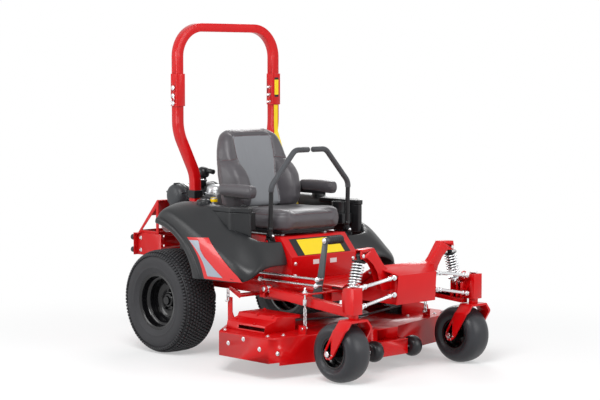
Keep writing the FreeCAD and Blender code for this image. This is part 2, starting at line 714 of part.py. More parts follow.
def front_arm():
    """The right trailing arm with its shock clevis, kingpin housing and rod tab."""
    half = HOUSING_SIZE / 2
    rear_face = KINGPIN_X - half
    y_in = -ARM_FRONT_Y + ARM_W / 2
    y_out = -ARM_FRONT_Y - ARM_W / 2
    bar = solid_between((ARM_BAR_REAR_X, -ARM_REAR_Y - ARM_W / 2, -ARM_REAR_Y + ARM_W / 2,
                         ARM_BAR_REAR_Z - ARM_H / 2, ARM_BAR_REAR_Z + ARM_H / 2),
                        (rear_face, y_out, y_in, ARM_BAR_FRONT_Z - ARM_H / 2, ARM_BAR_FRONT_Z + ARM_H / 2))
    centre = vec(KINGPIN_X, -CASTER_Y, 0)
    housing = block(rear_face, KINGPIN_X + half, -CASTER_Y - half, -CASTER_Y + half, HOUSING_LOW_Z,
                    HOUSING_TOP_Z)
    shapes = [bar, housing]
    back = block(rear_face - 62, rear_face, y_out, y_out + 5, ARM_BAR_FRONT_Z, HOUSING_TOP_Z - 14)
    front = block(rear_face - 5, rear_face, y_out + 5, y_in + 14, ARM_BAR_FRONT_Z, HOUSING_TOP_Z - 46)
    clear = block(SHOCK_LOW[0] - SHOCK_EAR_HALF, SHOCK_LOW[0] + SHOCK_EAR_HALF, y_out + 5, y_in + 30,
                  ARM_BAR_FRONT_Z + ARM_H / 2 + 2, HOUSING_TOP_Z)
    shapes += [back, front.cut(clear)]
    for x0 in (SHOCK_LOW[0] - SHOCK_EAR_HALF - PLATE, SHOCK_LOW[0] + SHOCK_EAR_HALF):
        tip = vec(x0, -SHOCK_LOW[1], SHOCK_LOW[2])
        ear = block(x0, x0 + PLATE, y_out, -SHOCK_LOW[1] + 16, ARM_BAR_FRONT_Z + 10, SHOCK_LOW[2])
        top = block(x0, x0 + PLATE, y_out, -SHOCK_LOW[1], SHOCK_LOW[2], SHOCK_LOW[2] + 16)
        shapes.append(fuse([ear, top, rod(tip, tip + X_AXIS * PLATE, 16)]))
    low_collar = centre + Z_AXIS * (HOUSING_LOW_Z + HOUSING_COLLAR)
    top_collar = centre + Z_AXIS * (HOUSING_TOP_Z - HOUSING_COLLAR)
    cavity = rod(low_collar, top_collar, half - HOUSING_WALL)
    bore = rod(centre, centre + Z_AXIS * 600, KINGPIN_R + PIN_CLEARANCE)
    shapes += arm_rod_tabs(half)
    shank_z = ARM_PIVOT_Z - 14
    shank = rod(vec(ARM_BAR_REAR_X - 5, -ARM_REAR_Y, shank_z),
                vec(ARM_BAR_REAR_X + 40, -ARM_REAR_Y, shank_z), 9.0)
    low_bolt = vec(SHOCK_LOW[0], -SHOCK_LOW[1], SHOCK_LOW[2])
    shock_hole = rod(low_bolt - X_AXIS * 40, low_bolt + X_AXIS * 40, SHOCK_BOLT_R)
    hollows = cavity.fuse(bore).fuse(shank).fuse(shock_hole)
    return [shape.cut(hollows) for shape in welded(shapes)]


def arm_rod_end():
    """The silver rod end screwed into the arm, and the shock's lower bolt."""
    eye = rod(vec(ARM_PIVOT_X, -ARM_REAR_Y - PIVOT_EYE_W / 2, ARM_PIVOT_Z),
              vec(ARM_PIVOT_X, -ARM_REAR_Y + PIVOT_EYE_W / 2, ARM_PIVOT_Z), PIVOT_EYE_R)
    shank = rod(vec(ARM_PIVOT_X, -ARM_REAR_Y, ARM_PIVOT_Z - 14), vec(ARM_BAR_REAR_X + 38, -ARM_REAR_Y,
                ARM_PIVOT_Z - 14), 9.0)
    nut = hex_head(vec(ARM_BAR_REAR_X - 12, -ARM_REAR_Y, ARM_PIVOT_Z - 14), X_AXIS, 15, 12)
    bolt_hole = rod(vec(ARM_PIVOT_X, -ARM_REAR_Y - 60, ARM_PIVOT_Z),
                    vec(ARM_PIVOT_X, -ARM_REAR_Y + 60, ARM_PIVOT_Z), PIVOT_BOLT_R + PIN_CLEARANCE)
    low = vec(SHOCK_LOW[0], -SHOCK_LOW[1], SHOCK_LOW[2])
    reach = X_AXIS * (SHOCK_EAR_HALF + PLATE)
    return group([fuse([eye, shank, nut]).cut(bolt_hole),
                  pivot_bolt(low - reach, low + reach, SHOCK_BOLT_R, X_AXIS)])


def lateral_rod(inner, outer):
    """A threaded rod between two eyes; the outer eye carries its bolt and nut."""
    start = vec(ROD_X, -inner[0], inner[1])
    end = vec(ROD_X, -outer[0], outer[1])
    way = (end - start).normalize()
    half = X_AXIS * (ROD_EYE_W / 2)
    bar = rod(start + way * 8, end - way * 8, ROD_R)
    shapes = [bar, rod(start - half, start + half, ROD_EYE_R), rod(end - half, end + half, ROD_EYE_R)]
    for place, turn in ((start + way * 26, way), (end - way * 26, -way)):
        shapes.append(hex_head(place, turn, ROD_R + 4.5, 10))
    shapes.append(hex_head(end + half, X_AXIS, EYE_NUT_R, 8))
    shapes.append(hex_head(end - half - X_AXIS * 9, X_AXIS, EYE_NUT_R, 9))
    return fuse(shapes).cut(rod(start - half * 2, start + half * 2, ROD_BOLT_R + PIN_CLEARANCE))


def shock_body():
    half = X_AXIS * (SHOCK_EYE_W / 2)
    eye = rod(SHOCK_TOP_POINT - half, SHOCK_TOP_POINT + half, SHOCK_EYE_R)
    neck = rod(along_shock(8), along_shock(PERCH_IN), SHOCK_EYE_R - 2)
    body = rod(along_shock(PERCH_IN), along_shock(SHOCK_BODY_END), SHOCK_BODY_R)
    perch = rod(along_shock(PERCH_IN), along_shock(PERCH_IN + PERCH_T), PERCH_R)
    bore = rod(along_shock(SHOCK_BORE_START), along_shock(SHOCK_BODY_END + 5), SHOCK_ROD_R + PIN_CLEARANCE)
    pin = rod(SHOCK_TOP_POINT - half * 2, SHOCK_TOP_POINT + half * 2, SHOCK_BOLT_R + PIN_CLEARANCE)
    return fuse([eye, neck, body, perch]).cut(bore).cut(pin)


def shock_rod():
    half = X_AXIS * (SHOCK_EYE_W / 2)
    eye = rod(SHOCK_LOW_POINT - half, SHOCK_LOW_POINT + half, SHOCK_EYE_R)
    stem = rod(along_shock(SHOCK_ROD_START), along_shock(SHOCK_LENGTH - 8), SHOCK_ROD_R)
    boss = rod(along_shock(SHOCK_LENGTH - PERCH_IN), along_shock(SHOCK_LENGTH - 8), SHOCK_ROD_R + 7)
    perch = rod(along_shock(SHOCK_LENGTH - PERCH_IN - PERCH_T), along_shock(SHOCK_LENGTH - PERCH_IN),
                PERCH_R)
    pin = rod(SHOCK_LOW_POINT - half * 2, SHOCK_LOW_POINT + half * 2, SHOCK_LOW_BORE_R)
    return fuse([eye, stem, boss, perch]).cut(pin)


def coil_spring():
    """A round-wire compression spring between the two perches."""
    length = SHOCK_LENGTH - 2 * (PERCH_IN + PERCH_T + SPRING_WIRE_R + FACE_CLEARANCE)
    helix = Part.makeHelix(length / SPRING_TURNS, length, SPRING_R)
    circle = Part.Wire(Part.Circle(vec(SPRING_R, 0, 0), Y_AXIS, SPRING_WIRE_R).toShape())
    coil = Part.Wire(helix.Edges).makePipeShell([circle], True, True)
    start = along_shock(PERCH_IN + PERCH_T + SPRING_WIRE_R + FACE_CLEARANCE)
    coil.Placement = FreeCAD.Placement(start, FreeCAD.Rotation(Z_AXIS, SHOCK_WAY))
    return coil


def suspension_bolts():
    """The fixed pivot bolts: arm pivots, inner rod ends and upper shock eyes."""
    bolts = []
    for side in (-1.0, 1.0):
        near = ARM_REAR_Y - PIVOT_EYE_W / 2 - FACE_CLEARANCE - PIVOT_EAR_T
        far = ARM_REAR_Y + PIVOT_EYE_W / 2 + FACE_CLEARANCE + PIVOT_EAR_T
        bolts.append(pivot_bolt(vec(ARM_PIVOT_X, side * near, ARM_PIVOT_Z),
                                vec(ARM_PIVOT_X, side * far, ARM_PIVOT_Z), PIVOT_BOLT_R, Y_AXIS * side))
        for y, z in (UPPER_ROD_INNER, LOWER_ROD_INNER):
            back = ROD_X - ROD_EYE_W / 2 - FACE_CLEARANCE - CRADLE_PLATE
            front = ROD_X + ROD_EYE_W / 2 + FACE_CLEARANCE
            bolts.append(pivot_bolt(vec(back, side * y, z), vec(front, side * y, z), ROD_BOLT_R, X_AXIS))
        bolts.append(pivot_bolt(vec(TOWER_REAR_X, side * SHOCK_TOP[1], SHOCK_TOP[2]),
                                vec(TOWER_FRONT_X, side * SHOCK_TOP[1],
                                    SHOCK_TOP[2]), SHOCK_BOLT_R, X_AXIS))
    return group(bolts)


save_pair("front_arm", group(front_arm() + [arm_rod_end()]))
save_pair("upper_rod", lateral_rod(UPPER_ROD_INNER, UPPER_ROD_OUTER))
save_pair("lower_rod", lateral_rod(LOWER_ROD_INNER, LOWER_ROD_OUTER))
save_pair("shock_body", shock_body())
save_pair("shock_rod", shock_rod())
save_pair("coil_spring", coil_spring())


# Casters: bent forks on kingpins, with smooth semi-pneumatic tyres
CASTER_BEAD_W = 128.0
CASTER_HUB_W = 168.0
CASTER_HUB_R = 24.0
FORK_SHOULDER_Z = 292.0
FORK_SHOULDER_Y = 62.0
FORK_TIP_R = 30.0


def caster_fork():
    """The right fork: a flat bar folded over the wheel, raked back, with its kingpin."""
    middle = FORK_PLATE / 2
    low = CASTER_R - 60
    arch = [(-FORK_LEG_Y - middle, low), (-FORK_LEG_Y - middle, FORK_SHOULDER_Z),
            (-FORK_SHOULDER_Y, FORK_TOP_Z)]
    arch += [(-y, z) for y, z in reversed(arch)]
    bar = prism(folded(arch, -FORK_PLATE), "x", WHEELBASE - 60, KINGPIN_X + 60)
    half = FORK_BAR_W / 2
    lean = (KINGPIN_X - WHEELBASE) / (FORK_SHOULDER_Z + 10 - CASTER_R)
    side = [(KINGPIN_X - half - 4, FORK_TOP_Z + 1), (KINGPIN_X + half + 6, FORK_TOP_Z + 1)]
    side += [(KINGPIN_X + half + 6, FORK_SHOULDER_Z + 12)]
    side += [(WHEELBASE + FORK_TIP_R + 8, CASTER_R - 8), (WHEELBASE + 14, CASTER_R - FORK_TIP_R),
             (WHEELBASE - 14, CASTER_R - FORK_TIP_R), (WHEELBASE - FORK_TIP_R, CASTER_R - 8)]
    side += [(WHEELBASE - FORK_TIP_R + lean * 12, CASTER_R + 22),
             (KINGPIN_X - half - 4, FORK_SHOULDER_Z + 8)]
    bar = bar.common(side_prism(side, -FORK_LEG_Y - 20, FORK_LEG_Y + 20))
    bar.translate(vec(0, -CASTER_Y, 0))
    axle = vec(WHEELBASE, -CASTER_Y, CASTER_R)
    reach = Y_AXIS * (FORK_LEG_Y + 10)
    bar = bar.cut(rod(axle - reach, axle + reach, CASTER_AXLE_R))
    pin_base = vec(KINGPIN_X, -CASTER_Y, FORK_TOP_Z)
    boss = rod(pin_base, vec(KINGPIN_X, -CASTER_Y, HOUSING_LOW_Z - FACE_CLEARANCE), KINGPIN_R + 11)
    pin = rod(pin_base, vec(KINGPIN_X, -CASTER_Y, HOUSING_TOP_Z + 6), KINGPIN_R)
    return [bar, fuse([boss, pin])]


def caster_axle():
    """The wheel bolt with its nuts, and the cap nut on top of the kingpin."""
    axle = vec(WHEELBASE, -CASTER_Y, CASTER_R)
    reach = Y_AXIS * (FORK_LEG_Y + FORK_PLATE / 2)
    bolt = pivot_bolt(axle - reach, axle + reach, CASTER_AXLE_R, Y_AXIS)
    top = vec(KINGPIN_X, -CASTER_Y, HOUSING_TOP_Z + 6)
    cap = rod(top, top + Z_AXIS * 7, KINGPIN_R + 7)
    return group([bolt, cap])


def caster_wheel():
    centre = vec(WHEELBASE, -CASTER_Y, CASTER_R)
    half = CASTER_W / 2
    bead = CASTER_BEAD_W / 2 - TYRE_CLEARANCE
    bead_r = CASTER_BEAD_R + TYRE_CLEARANCE
    outline = [(bead_r, -bead), (bead_r + 10, -bead), (bead_r + 26, -half + 1), (bead_r + 42, -half)]
    outline += [(CASTER_R - 22, -half + 10), (CASTER_R - 8, -half + 28), (CASTER_R, -half + 56)]
    outline += [(r, -h) for r, h in reversed(outline)]
    rubber = turned(outline, centre, Y_AXIS)
    steel = rim(CASTER_BEAD_R, CASTER_BEAD_W, CASTER_BEAD_R + 9, 3.0, 0.0, CASTER_HUB_R - 2, 10.0, centre,
                1)
    hub_reach = Y_AXIS * (CASTER_HUB_W / 2)
    hub = rod(centre - hub_reach, centre + hub_reach, CASTER_HUB_R)
    steel = fuse([steel, hub]).cut(rod(centre - hub_reach, centre + hub_reach,
                                       CASTER_AXLE_R + PIN_CLEARANCE))
    return rubber, steel


caster_rubber, caster_steel = caster_wheel()
save_pair("caster_fork", group(caster_fork() + [caster_axle()]))
save_pair("caster_tyre", caster_rubber)
save_pair("caster_rim", caster_steel)


# Mowing deck: folded shell, belt covers, spindles with their blades, anti-scalp rollers and hangers
DECK_BULGE_X = 1284.0
DISCHARGE_HALF_W = 280.0
SPINDLE_HOUSING_R = 62.0
SPINDLE_HOUSING_TOP = 268.0
PULLEY_R = 74.0
PULLEY_T = 20.0
PULLEY_GAP = 4.0
BELT_T = 9.0
COVER_WALL = 3.0
COVER_FLANGE_Y = 655.0
ROLLER_BOX_HALF_W = 106.0
ROLLER_BOX_FRONT_X = 1338.0
ROLLER_BOX_TOP_Z = 166.0
FRONT_HANGER_TOP_Z = 480.0
REAR_HANGER_X = 590.0
REAR_HANGER_TOP_Z = 432.0
HANGER_EAR_Z = 257.0
HANGER_BOLT_R = 4.5
REAR_EAR_Z = 366.0
LINK_LENGTH = 34.0
LINK_W = 20.0
LINK_BAR = 5.0
SPINDLES = (("right", SPINDLE_X, -SPINDLE_Y), ("centre", SPINDLE_X + SPINDLE_STAGGER, 0.0),
            ("left", SPINDLE_X, SPINDLE_Y))


def deck_plan():
    """The deck's outline seen from above."""
    half = [(DECK_REAR_X, 560), (DECK_SIDE_REAR_X, DECK_HALF_W), (DECK_SIDE_FRONT_X, DECK_HALF_W)]
    half += [(DECK_SIDE_FRONT_X + 20, 608), (DECK_SIDE_FRONT_X + 43, SPINDLE_Y), (DECK_BULGE_X - 26, 110),
             (DECK_BULGE_X, 80)]
    return half + [(x, -y) for x, y in reversed(half)]


def outline_wire(points, z):
    corners = [vec(x, y, z) for x, y in points]
    return Part.makePolygon(corners + corners[:1])


def deck_skirts():
    """The skirt plates, one for each straight of the outline, open at the rear for the clippings."""
    height = DECK_TOP_Z - DECK_WALL - DECK_FRONT_LOW_Z
    outer = Part.Face(outline_wire(deck_plan(), DECK_FRONT_LOW_Z)).extrude(Z_AXIS * height)
    inside = outline_wire(deck_plan(), DECK_FRONT_LOW_Z).makeOffset2D(-DECK_WALL, 2)
    inner = Part.Face(inside).extrude(Z_AXIS * height)
    rear, front = DECK_REAR_X - 10, DECK_SIDE_FRONT_X + 10
    ring = outer.cut(inner)
    ring = ring.cut(block(rear, front, -DECK_HALF_W - 1, DECK_HALF_W + 1, 0, DECK_SIDE_LOW_Z))
    ring = ring.cut(block(rear, rear + 30, -DISCHARGE_HALF_W, DISCHARGE_HALF_W, 0, DECK_TOP_Z - 25))
    corners = deck_plan() + [(DECK_REAR_X, -DISCHARGE_HALF_W), (DECK_REAR_X, DISCHARGE_HALF_W)]
    plates = []
    for (x0, y0), (x1, y1) in zip(corners, corners[1:] + corners[:1]):
        wedge = [(SPINDLE_X, 0), (3 * x0 - 2 * SPINDLE_X, 3 * y0), (3 * x1 - 2 * SPINDLE_X, 3 * y1)]
        plates.extend(ring.common(prism(wedge, "z", 0, DECK_TOP_Z)).Solids)
    return plates


def roller_box():
    """The box between the two anti-scalp rollers, open below, with a gusset at each rear corner."""
    low, high = DECK_FRONT_LOW_Z + 4, ROLLER_BOX_TOP_Z
    rear, front, edge = DECK_BULGE_X, ROLLER_BOX_FRONT_X, ROLLER_BOX_HALF_W
    plates = [block(rear, front, -edge, edge, high - DECK_WALL, high)]
    plates.append(block(front - DECK_WALL, front, -edge, edge, low, high - DECK_WALL))
    for side in (-1.0, 1.0):
        inside = side * (edge - DECK_WALL)
        plates.append(block(rear, front - DECK_WALL, inside, side * edge, low, high - DECK_WALL))
        outline = [(rear - 30, inside), (rear - 30, side * (edge + 3)), (rear, side * edge), (rear, inside)]
        plates.append(prism(outline, "z", low, high))
    return plates


def deck_shell():
    """Top plate and skirts, open below, with the rear discharge between the tyres."""
    top = Part.Face(outline_wire(deck_plan(), DECK_TOP_Z - DECK_WALL)).extrude(Z_AXIS * DECK_WALL)
    for label, x, y in SPINDLES:
        top = top.cut(rod(vec(x, y, DECK_TOP_Z - 20), vec(x, y, DECK_TOP_Z + 10), SPINDLE_HOUSING_R - 20))
    shapes = [top] + deck_skirts() + roller_box()
    for side in (-1.0, 1.0):
        ear_y = side * (HANGER_BRACKET_Y + 12)
        ear = block(HANGER_BRACKET_X - 32, HANGER_BRACKET_X + 22, ear_y, ear_y + side * PLATE,
                    DECK_TOP_Z - 1, HANGER_EAR_Z + 16)
        bolt = rod(vec(HANGER_BRACKET_X, ear_y - 20, HANGER_EAR_Z),
                   vec(HANGER_BRACKET_X, ear_y + 20, HANGER_EAR_Z), HANGER_BOLT_R)
        shapes.append(ear.cut(bolt))
        rear_y = side * (HANGER_Y - PLATE)
        outline = [(REAR_HANGER_X - 18, DECK_TOP_Z - 1), (REAR_HANGER_X + 60, DECK_TOP_Z - 1),
                   (REAR_HANGER_X + 18, 300), (REAR_HANGER_X + 18, REAR_EAR_Z + 18),
                   (REAR_HANGER_X - 18, REAR_EAR_Z + 18)]
        bolt = rod(vec(REAR_HANGER_X, rear_y - 20, REAR_EAR_Z),
                   vec(REAR_HANGER_X, rear_y + 20, REAR_EAR_Z), HANGER_BOLT_R)
        shapes.append(side_prism(outline, rear_y - side * PLATE, rear_y).cut(bolt))
    return group(welded(shapes))


def belt_covers():
    """A folded cover over each outer pulley and a low one over the centre."""
    covers = []
    x0, x1 = SPINDLE_X - 215, SPINDLE_X + 100
    z0 = DECK_TOP_Z
    for side in (-1.0, 1.0):
        section = [(COVER_FLANGE_Y, z0), (COVER_FLANGE_Y - 10, z0 + 42),
                   (HANGER_Y + 12, COVER_TOP_Z - 22), (HANGER_Y, COVER_TOP_Z),
                   (SPINDLE_Y - PULLEY_R - 16, COVER_TOP_Z), (SPINDLE_Y - PULLEY_R - 16, z0)]
        outer = prism([(side * y, z) for y, z in section], "x", x0, x1)
        inner = [(COVER_FLANGE_Y - COVER_WALL, z0 - 1), (COVER_FLANGE_Y - 10 - COVER_WALL, z0 + 40),
                 (HANGER_Y + 9, COVER_TOP_Z - 24), (HANGER_Y - 2, COVER_TOP_Z - COVER_WALL),
                 (SPINDLE_Y - PULLEY_R - 40, COVER_TOP_Z - COVER_WALL), (SPINDLE_Y - PULLEY_R - 40, z0 - 1)]
        hollow = prism([(side * y, z) for y, z in inner], "x", x0 + COVER_WALL, x1 - COVER_WALL)
        slot = block(SPINDLE_X - 115, SPINDLE_X + 98, side * (COVER_FLANGE_Y - 40),
                     side * (COVER_FLANGE_Y + 10),
                     z0 + 12, z0 + 30)
        belt_gate = block(x1 - 5, x1 + 5, side * 360, side * 425, z0,
                          SPINDLE_HOUSING_TOP + PULLEY_GAP + PULLEY_T)
        covers.append(outer.cut(hollow).cut(slot).cut(belt_gate))
    return group(covers)


def spindle_housings():
    """Cast bearing housings bolted to the deck, one at each blade."""
    housings = []
    for label, x, y in SPINDLES:
        base = vec(x, y, DECK_TOP_Z)
        flange = rod(base, base + Z_AXIS * 8, SPINDLE_HOUSING_R)
        body = rod(base - Z_AXIS * 55, vec(x, y, SPINDLE_HOUSING_TOP), SPINDLE_HOUSING_R - 24)
        bore = rod(base - Z_AXIS * 60, base + Z_AXIS * 80, SPINDLE_R + PIN_CLEARANCE)
        housings.append(fuse([flange, body]).cut(bore))
    return group(housings)


def blade(x, y, angle):
    """A blade bar with its raised tails, on the spindle shaft that carries the pulley."""
    base = vec(x, y, BLADE_Z)
    half = BLADE_W / 2
    tip = math.sqrt(BLADE_TIP_R ** 2 - half ** 2)
    bar = block(-tip, tip, -half, half, 0, BLADE_T)
    for side in (-1.0, 1.0):
        bar = bar.fuse(block(side * (tip - 105), side * (tip - 5), side * -half, side * (4 - half),
                             BLADE_T, 24))
    bar = bar.cut(rod(vec(0, 0, -5), vec(0, 0, 30), SPINDLE_R))
    bar.Placement = FreeCAD.Placement(base, FreeCAD.Rotation(Z_AXIS, angle))
    pulley_low = vec(x, y, SPINDLE_HOUSING_TOP + PULLEY_GAP)
    shaft = rod(base - Z_AXIS * 4, pulley_low + Z_AXIS * (PULLEY_T + 6), SPINDLE_R)
    collar = rod(base + Z_AXIS * BLADE_T, vec(x, y, DECK_TOP_Z - 56), SPINDLE_R + 12)
    wheel = rod(pulley_low, pulley_low + Z_AXIS * PULLEY_T, PULLEY_R)
    groove = wheel.cut(rod(pulley_low, pulley_low + Z_AXIS * PULLEY_T, PULLEY_R - BELT_T))
    groove = groove.common(block(x - 100, x + 100, y - 100, y + 100, pulley_low.z + 4,
                                 pulley_low.z + PULLEY_T - 4))
    nut = hex_head(base - Z_AXIS * 16, Z_AXIS, 18, 16)
    return group([bar, fuse([shaft, collar, wheel.cut(groove), nut])])


def deck_belt():
    """The belt round the three spindle pulleys, as a flat band in their grooves."""
    radius = PULLEY_R - BELT_T + FACE_CLEARANCE
    centres = [(x, y) for label, x, y in SPINDLES]
    z0 = SPINDLE_HOUSING_TOP + PULLEY_GAP + 5
    height = PULLEY_T - 10

    def hull(grow):
        edges = []
        count = len(centres)
        spots = []
        for index in range(count):
            (x0, y0), (x1, y1) = centres[index], centres[(index + 1) % count]
            length = math.hypot(x1 - x0, y1 - y0)
            normal = vec((y1 - y0) / length, -(x1 - x0) / length, 0) * (radius + grow)
            spots.append((vec(x0, y0, z0) + normal, vec(x1, y1, z0) + normal))
        for index in range(count):
            start, end = spots[index]
            following = spots[(index + 1) % count][0]
            x1, y1 = centres[(index + 1) % count]
            centre = vec(x1, y1, z0)
            middle = centre + ((end + following) * 0.5 - centre).normalize() * (radius + grow)
            edges.append(Part.LineSegment(start, end).toShape())
            edges.append(Part.Arc(end, middle, following).toShape())
        return Part.Face(Part.Wire(edges)).extrude(Z_AXIS * height)

    return hull(BELT_T).cut(hull(0))


def anti_scalp_roller(side):
    half = ROLLER_W / 2
    outline = [(ROLLER_AXLE_R + PIN_CLEARANCE, -half), (ROLLER_R - 22, -half), (ROLLER_R - 6, -half + 7),
               (ROLLER_R, -half + 22)]
    outline += [(r, -h) for r, h in reversed(outline)]
    return turned(outline, vec(ROLLER_X, side * ROLLER_Y, DECK_SIDE_LOW_Z + 24), Y_AXIS)


def chain_link(centre, turned_link):
    """A stadium-shaped link standing upright, in one of two planes at right angles."""
    half = LINK_LENGTH / 2 - LINK_W / 2
    solids = []
    for radius in (LINK_W / 2, LINK_W / 2 - LINK_BAR):
        stadium = block(-LINK_BAR / 2, LINK_BAR / 2, -radius, radius, -half, half)
        for z in (-half, half):
            stadium = stadium.fuse(rod(vec(-LINK_BAR / 2, 0, z), vec(LINK_BAR / 2, 0, z), radius))
        solids.append(stadium)
    link = solids[0].cut(solids[1])
    link.Placement = FreeCAD.Placement(centre, FreeCAD.Rotation(Z_AXIS, 90 if turned_link else 0))
    return link


def chain(x, y, low_z, top_z):
    """Interlocked links between two heights."""
    pitch = LINK_LENGTH - 2 * LINK_BAR - 2.0
    links = []
    z = low_z
    while z <= top_z:
        links.append(chain_link(vec(x, y, z), len(links) % 2 == 0))
        z += pitch
    return links


def deck_hangers():
    """Chains and turnbuckles that hang the deck, and the roller axles and deck bolts."""
    pieces = []
    for side in (-1.0, 1.0):
        y = side * HANGER_BRACKET_Y
        ear_y = side * (HANGER_BRACKET_Y + 12)
        pieces.append(pivot_bolt(vec(HANGER_BRACKET_X, y - side * 12, HANGER_EAR_Z),
                                 vec(HANGER_BRACKET_X, ear_y + side * PLATE,
                                     HANGER_EAR_Z), HANGER_BOLT_R, Y_AXIS * side))
        links = chain(HANGER_BRACKET_X, y, HANGER_EAR_Z + 10, HANGER_EAR_Z + 100)
        pieces.extend(links)
        bar_low = links[-1].BoundBox.ZMax - LINK_BAR
        bar = rod(vec(HANGER_BRACKET_X, y, bar_low), vec(HANGER_BRACKET_X, y, FRONT_HANGER_TOP_Z), 5.0)
        sleeve = hex_head(vec(HANGER_BRACKET_X, y, bar_low + 16), Z_AXIS, 11, 32)
        washer = rod(vec(HANGER_BRACKET_X, y, 450), vec(HANGER_BRACKET_X, y, 453), HANGER_HOLE_R + 3.5)
        nut = hex_head(vec(HANGER_BRACKET_X, y, 453), Z_AXIS, 11, 10)
        pieces.append(fuse([bar, sleeve, washer, nut]))
        rear_y = side * (HANGER_Y + 8)
        pieces.append(pivot_bolt(vec(REAR_HANGER_X, side * (HANGER_Y - PLATE * 2), REAR_EAR_Z),
                                 vec(REAR_HANGER_X, side * (HANGER_Y + 20),
                                     REAR_EAR_Z), HANGER_BOLT_R, Y_AXIS * side))
        pieces.extend(chain(REAR_HANGER_X, rear_y, REAR_EAR_Z + 9, REAR_HANGER_TOP_Z - 12))
        roller = vec(ROLLER_X, side * ROLLER_BOX_HALF_W, DECK_SIDE_LOW_Z + 24)
        end = roller + Y_AXIS * (side * (ROLLER_Y - ROLLER_BOX_HALF_W + ROLLER_W / 2 + 1))
        head = rod(end, end + Y_AXIS * (side * 6), ROLLER_AXLE_R + 9)
        pieces.append(rod(roller, end, ROLLER_AXLE_R).fuse(head))
    return group(pieces)


save("deck_shell", group([deck_shell(), spindle_housings()]))
save("belt_covers", belt_covers())
save("deck_belt", deck_belt())
save("deck_hangers", deck_hangers())
for index, (label, x, y) in enumerate(SPINDLES):
    save("blade_" + label, blade(x, y, 90.0 + 60.0 * (index - 1)))
for label, side in SIDES:
    save("anti_scalp_roller_" + label, anti_scalp_roller(side))


# Deck lift: foot pedal, long silver rods and the rear cross shaft with its cranks
PEDAL_BAR_W = 44.0
PEDAL_BAR_T = 12.0
PEDAL_LEAN_X = 1141.0
PEDAL_PAD_R = 17.0
PEDAL_PAD_LENGTH = 135.0
LIFT_ROD_Y = 384.0
LOWER_LIFT_Z = 479.0
UPPER_LIFT_Z = 515.0


def lift_pedal():
    """The pedal bar on its shaft through the right rail, with the round foot pad reaching inwards."""
    face = -PEDAL_Y - PEDAL_BAR_T / 2
    half = PEDAL_BAR_W / 2
    outline = [(PEDAL_X - 34, PEDAL_Z - 10), (PEDAL_X + 38, PEDAL_Z - 10), (PEDAL_X + 44, PEDAL_Z + 60),
               (PEDAL_X + 62, PEDAL_Z + 130), (PEDAL_LEAN_X + half * 0.7, PEDAL_TOP_Z),
               (PEDAL_LEAN_X - half * 0.7, PEDAL_TOP_Z), (PEDAL_X + 18, PEDAL_Z + 130),
               (PEDAL_X - 10, PEDAL_Z + 60)]
    bar = side_prism(outline, face, face + PEDAL_BAR_T)
    hub = rod(vec(PEDAL_X, face - 12, PEDAL_Z), vec(PEDAL_X, -RAIL_Y - RAIL_W / 2 - FACE_CLEARANCE,
                                                    PEDAL_Z), 20)
    shaft = rod(vec(PEDAL_X, face, PEDAL_Z), vec(PEDAL_X, -RAIL_Y + RAIL_W / 2 + 12, PEDAL_Z),
                PEDAL_SHAFT_R)
    top = vec(PEDAL_LEAN_X, face - 4, PEDAL_TOP_Z)
    pad = rod(top, top + Y_AXIS * PEDAL_PAD_LENGTH, PEDAL_PAD_R)
    return group([fuse([bar, hub, shaft]).cut(pad), pad])


def lift_rods():
    """Two round rods side by side, with eyes and bolts at their ends."""
    pieces = []
    for z, x0, x1 in ((LOWER_LIFT_Z, CRANK_X - 4, PEDAL_X + 48),
                      (UPPER_LIFT_Z, CRANK_X - 100, PEDAL_X + 58)):
        y = -LIFT_ROD_Y
        shapes = [rod(vec(x0, y, z), vec(x1, y, z), LIFT_ROD_R)]
        for x in (x0, x1):
            shapes.append(rod(vec(x, y - 8, z), vec(x, y + 8, z), 13))
            shapes.append(hex_head(vec(x, y - 8, z), -Y_AXIS, 9, 7))
        pieces.append(fuse(shapes))
    front_pin = vec(PEDAL_X + 48, -LIFT_ROD_Y, LOWER_LIFT_Z)
    near = -PEDAL_Y - PEDAL_BAR_T / 2 - FACE_CLEARANCE
    pieces[0] = fuse([pieces[0], rod(front_pin, vec(front_pin.x, near, front_pin.z), 7)])
    upper_pin = vec(PEDAL_X + 58, -LIFT_ROD_Y, UPPER_LIFT_Z)
    pieces[1] = fuse([pieces[1], rod(upper_pin, vec(upper_pin.x, near, upper_pin.z), 7)])
    return group(pieces)


def lift_crank():
    """The cross shaft through both rails, with an upright arm on the right and a hanger arm at each end."""
    reach = HANGER_Y - PLATE * 2 - 0.5
    axis = vec(CRANK_X, 0, CRANK_Z)
    shaft = rod(axis - Y_AXIS * reach, axis + Y_AXIS * reach, CRANK_SHAFT_R)
    shapes = [shaft]
    for side in (-1.0, 1.0):
        tip = vec(REAR_HANGER_X - 4, side * reach, REAR_HANGER_TOP_Z)
        outline = [(CRANK_X, CRANK_Z - 16), (CRANK_X, CRANK_Z + 20), (tip.x, tip.z + 12),
                   (tip.x, tip.z - 12)]
        arm = side_prism(outline, side * (reach - 8), side * reach)
        shapes.append(arm.fuse(rod(tip - Y_AXIS * (side * 8), tip, 12)))
    y = -LIFT_ROD_Y + 8 + FACE_CLEARANCE
    outline = [(CRANK_X - 18, CRANK_Z), (CRANK_X + 18, CRANK_Z), (CRANK_X + 12, UPPER_LIFT_Z + 14),
               (CRANK_X - 14, UPPER_LIFT_Z + 14)]
    shapes.append(side_prism(outline, y, y + 8))
    return fuse(shapes)


save("lift_pedal", lift_pedal())
save("lift_rods", lift_rods())
save("lift_crank", lift_crank())


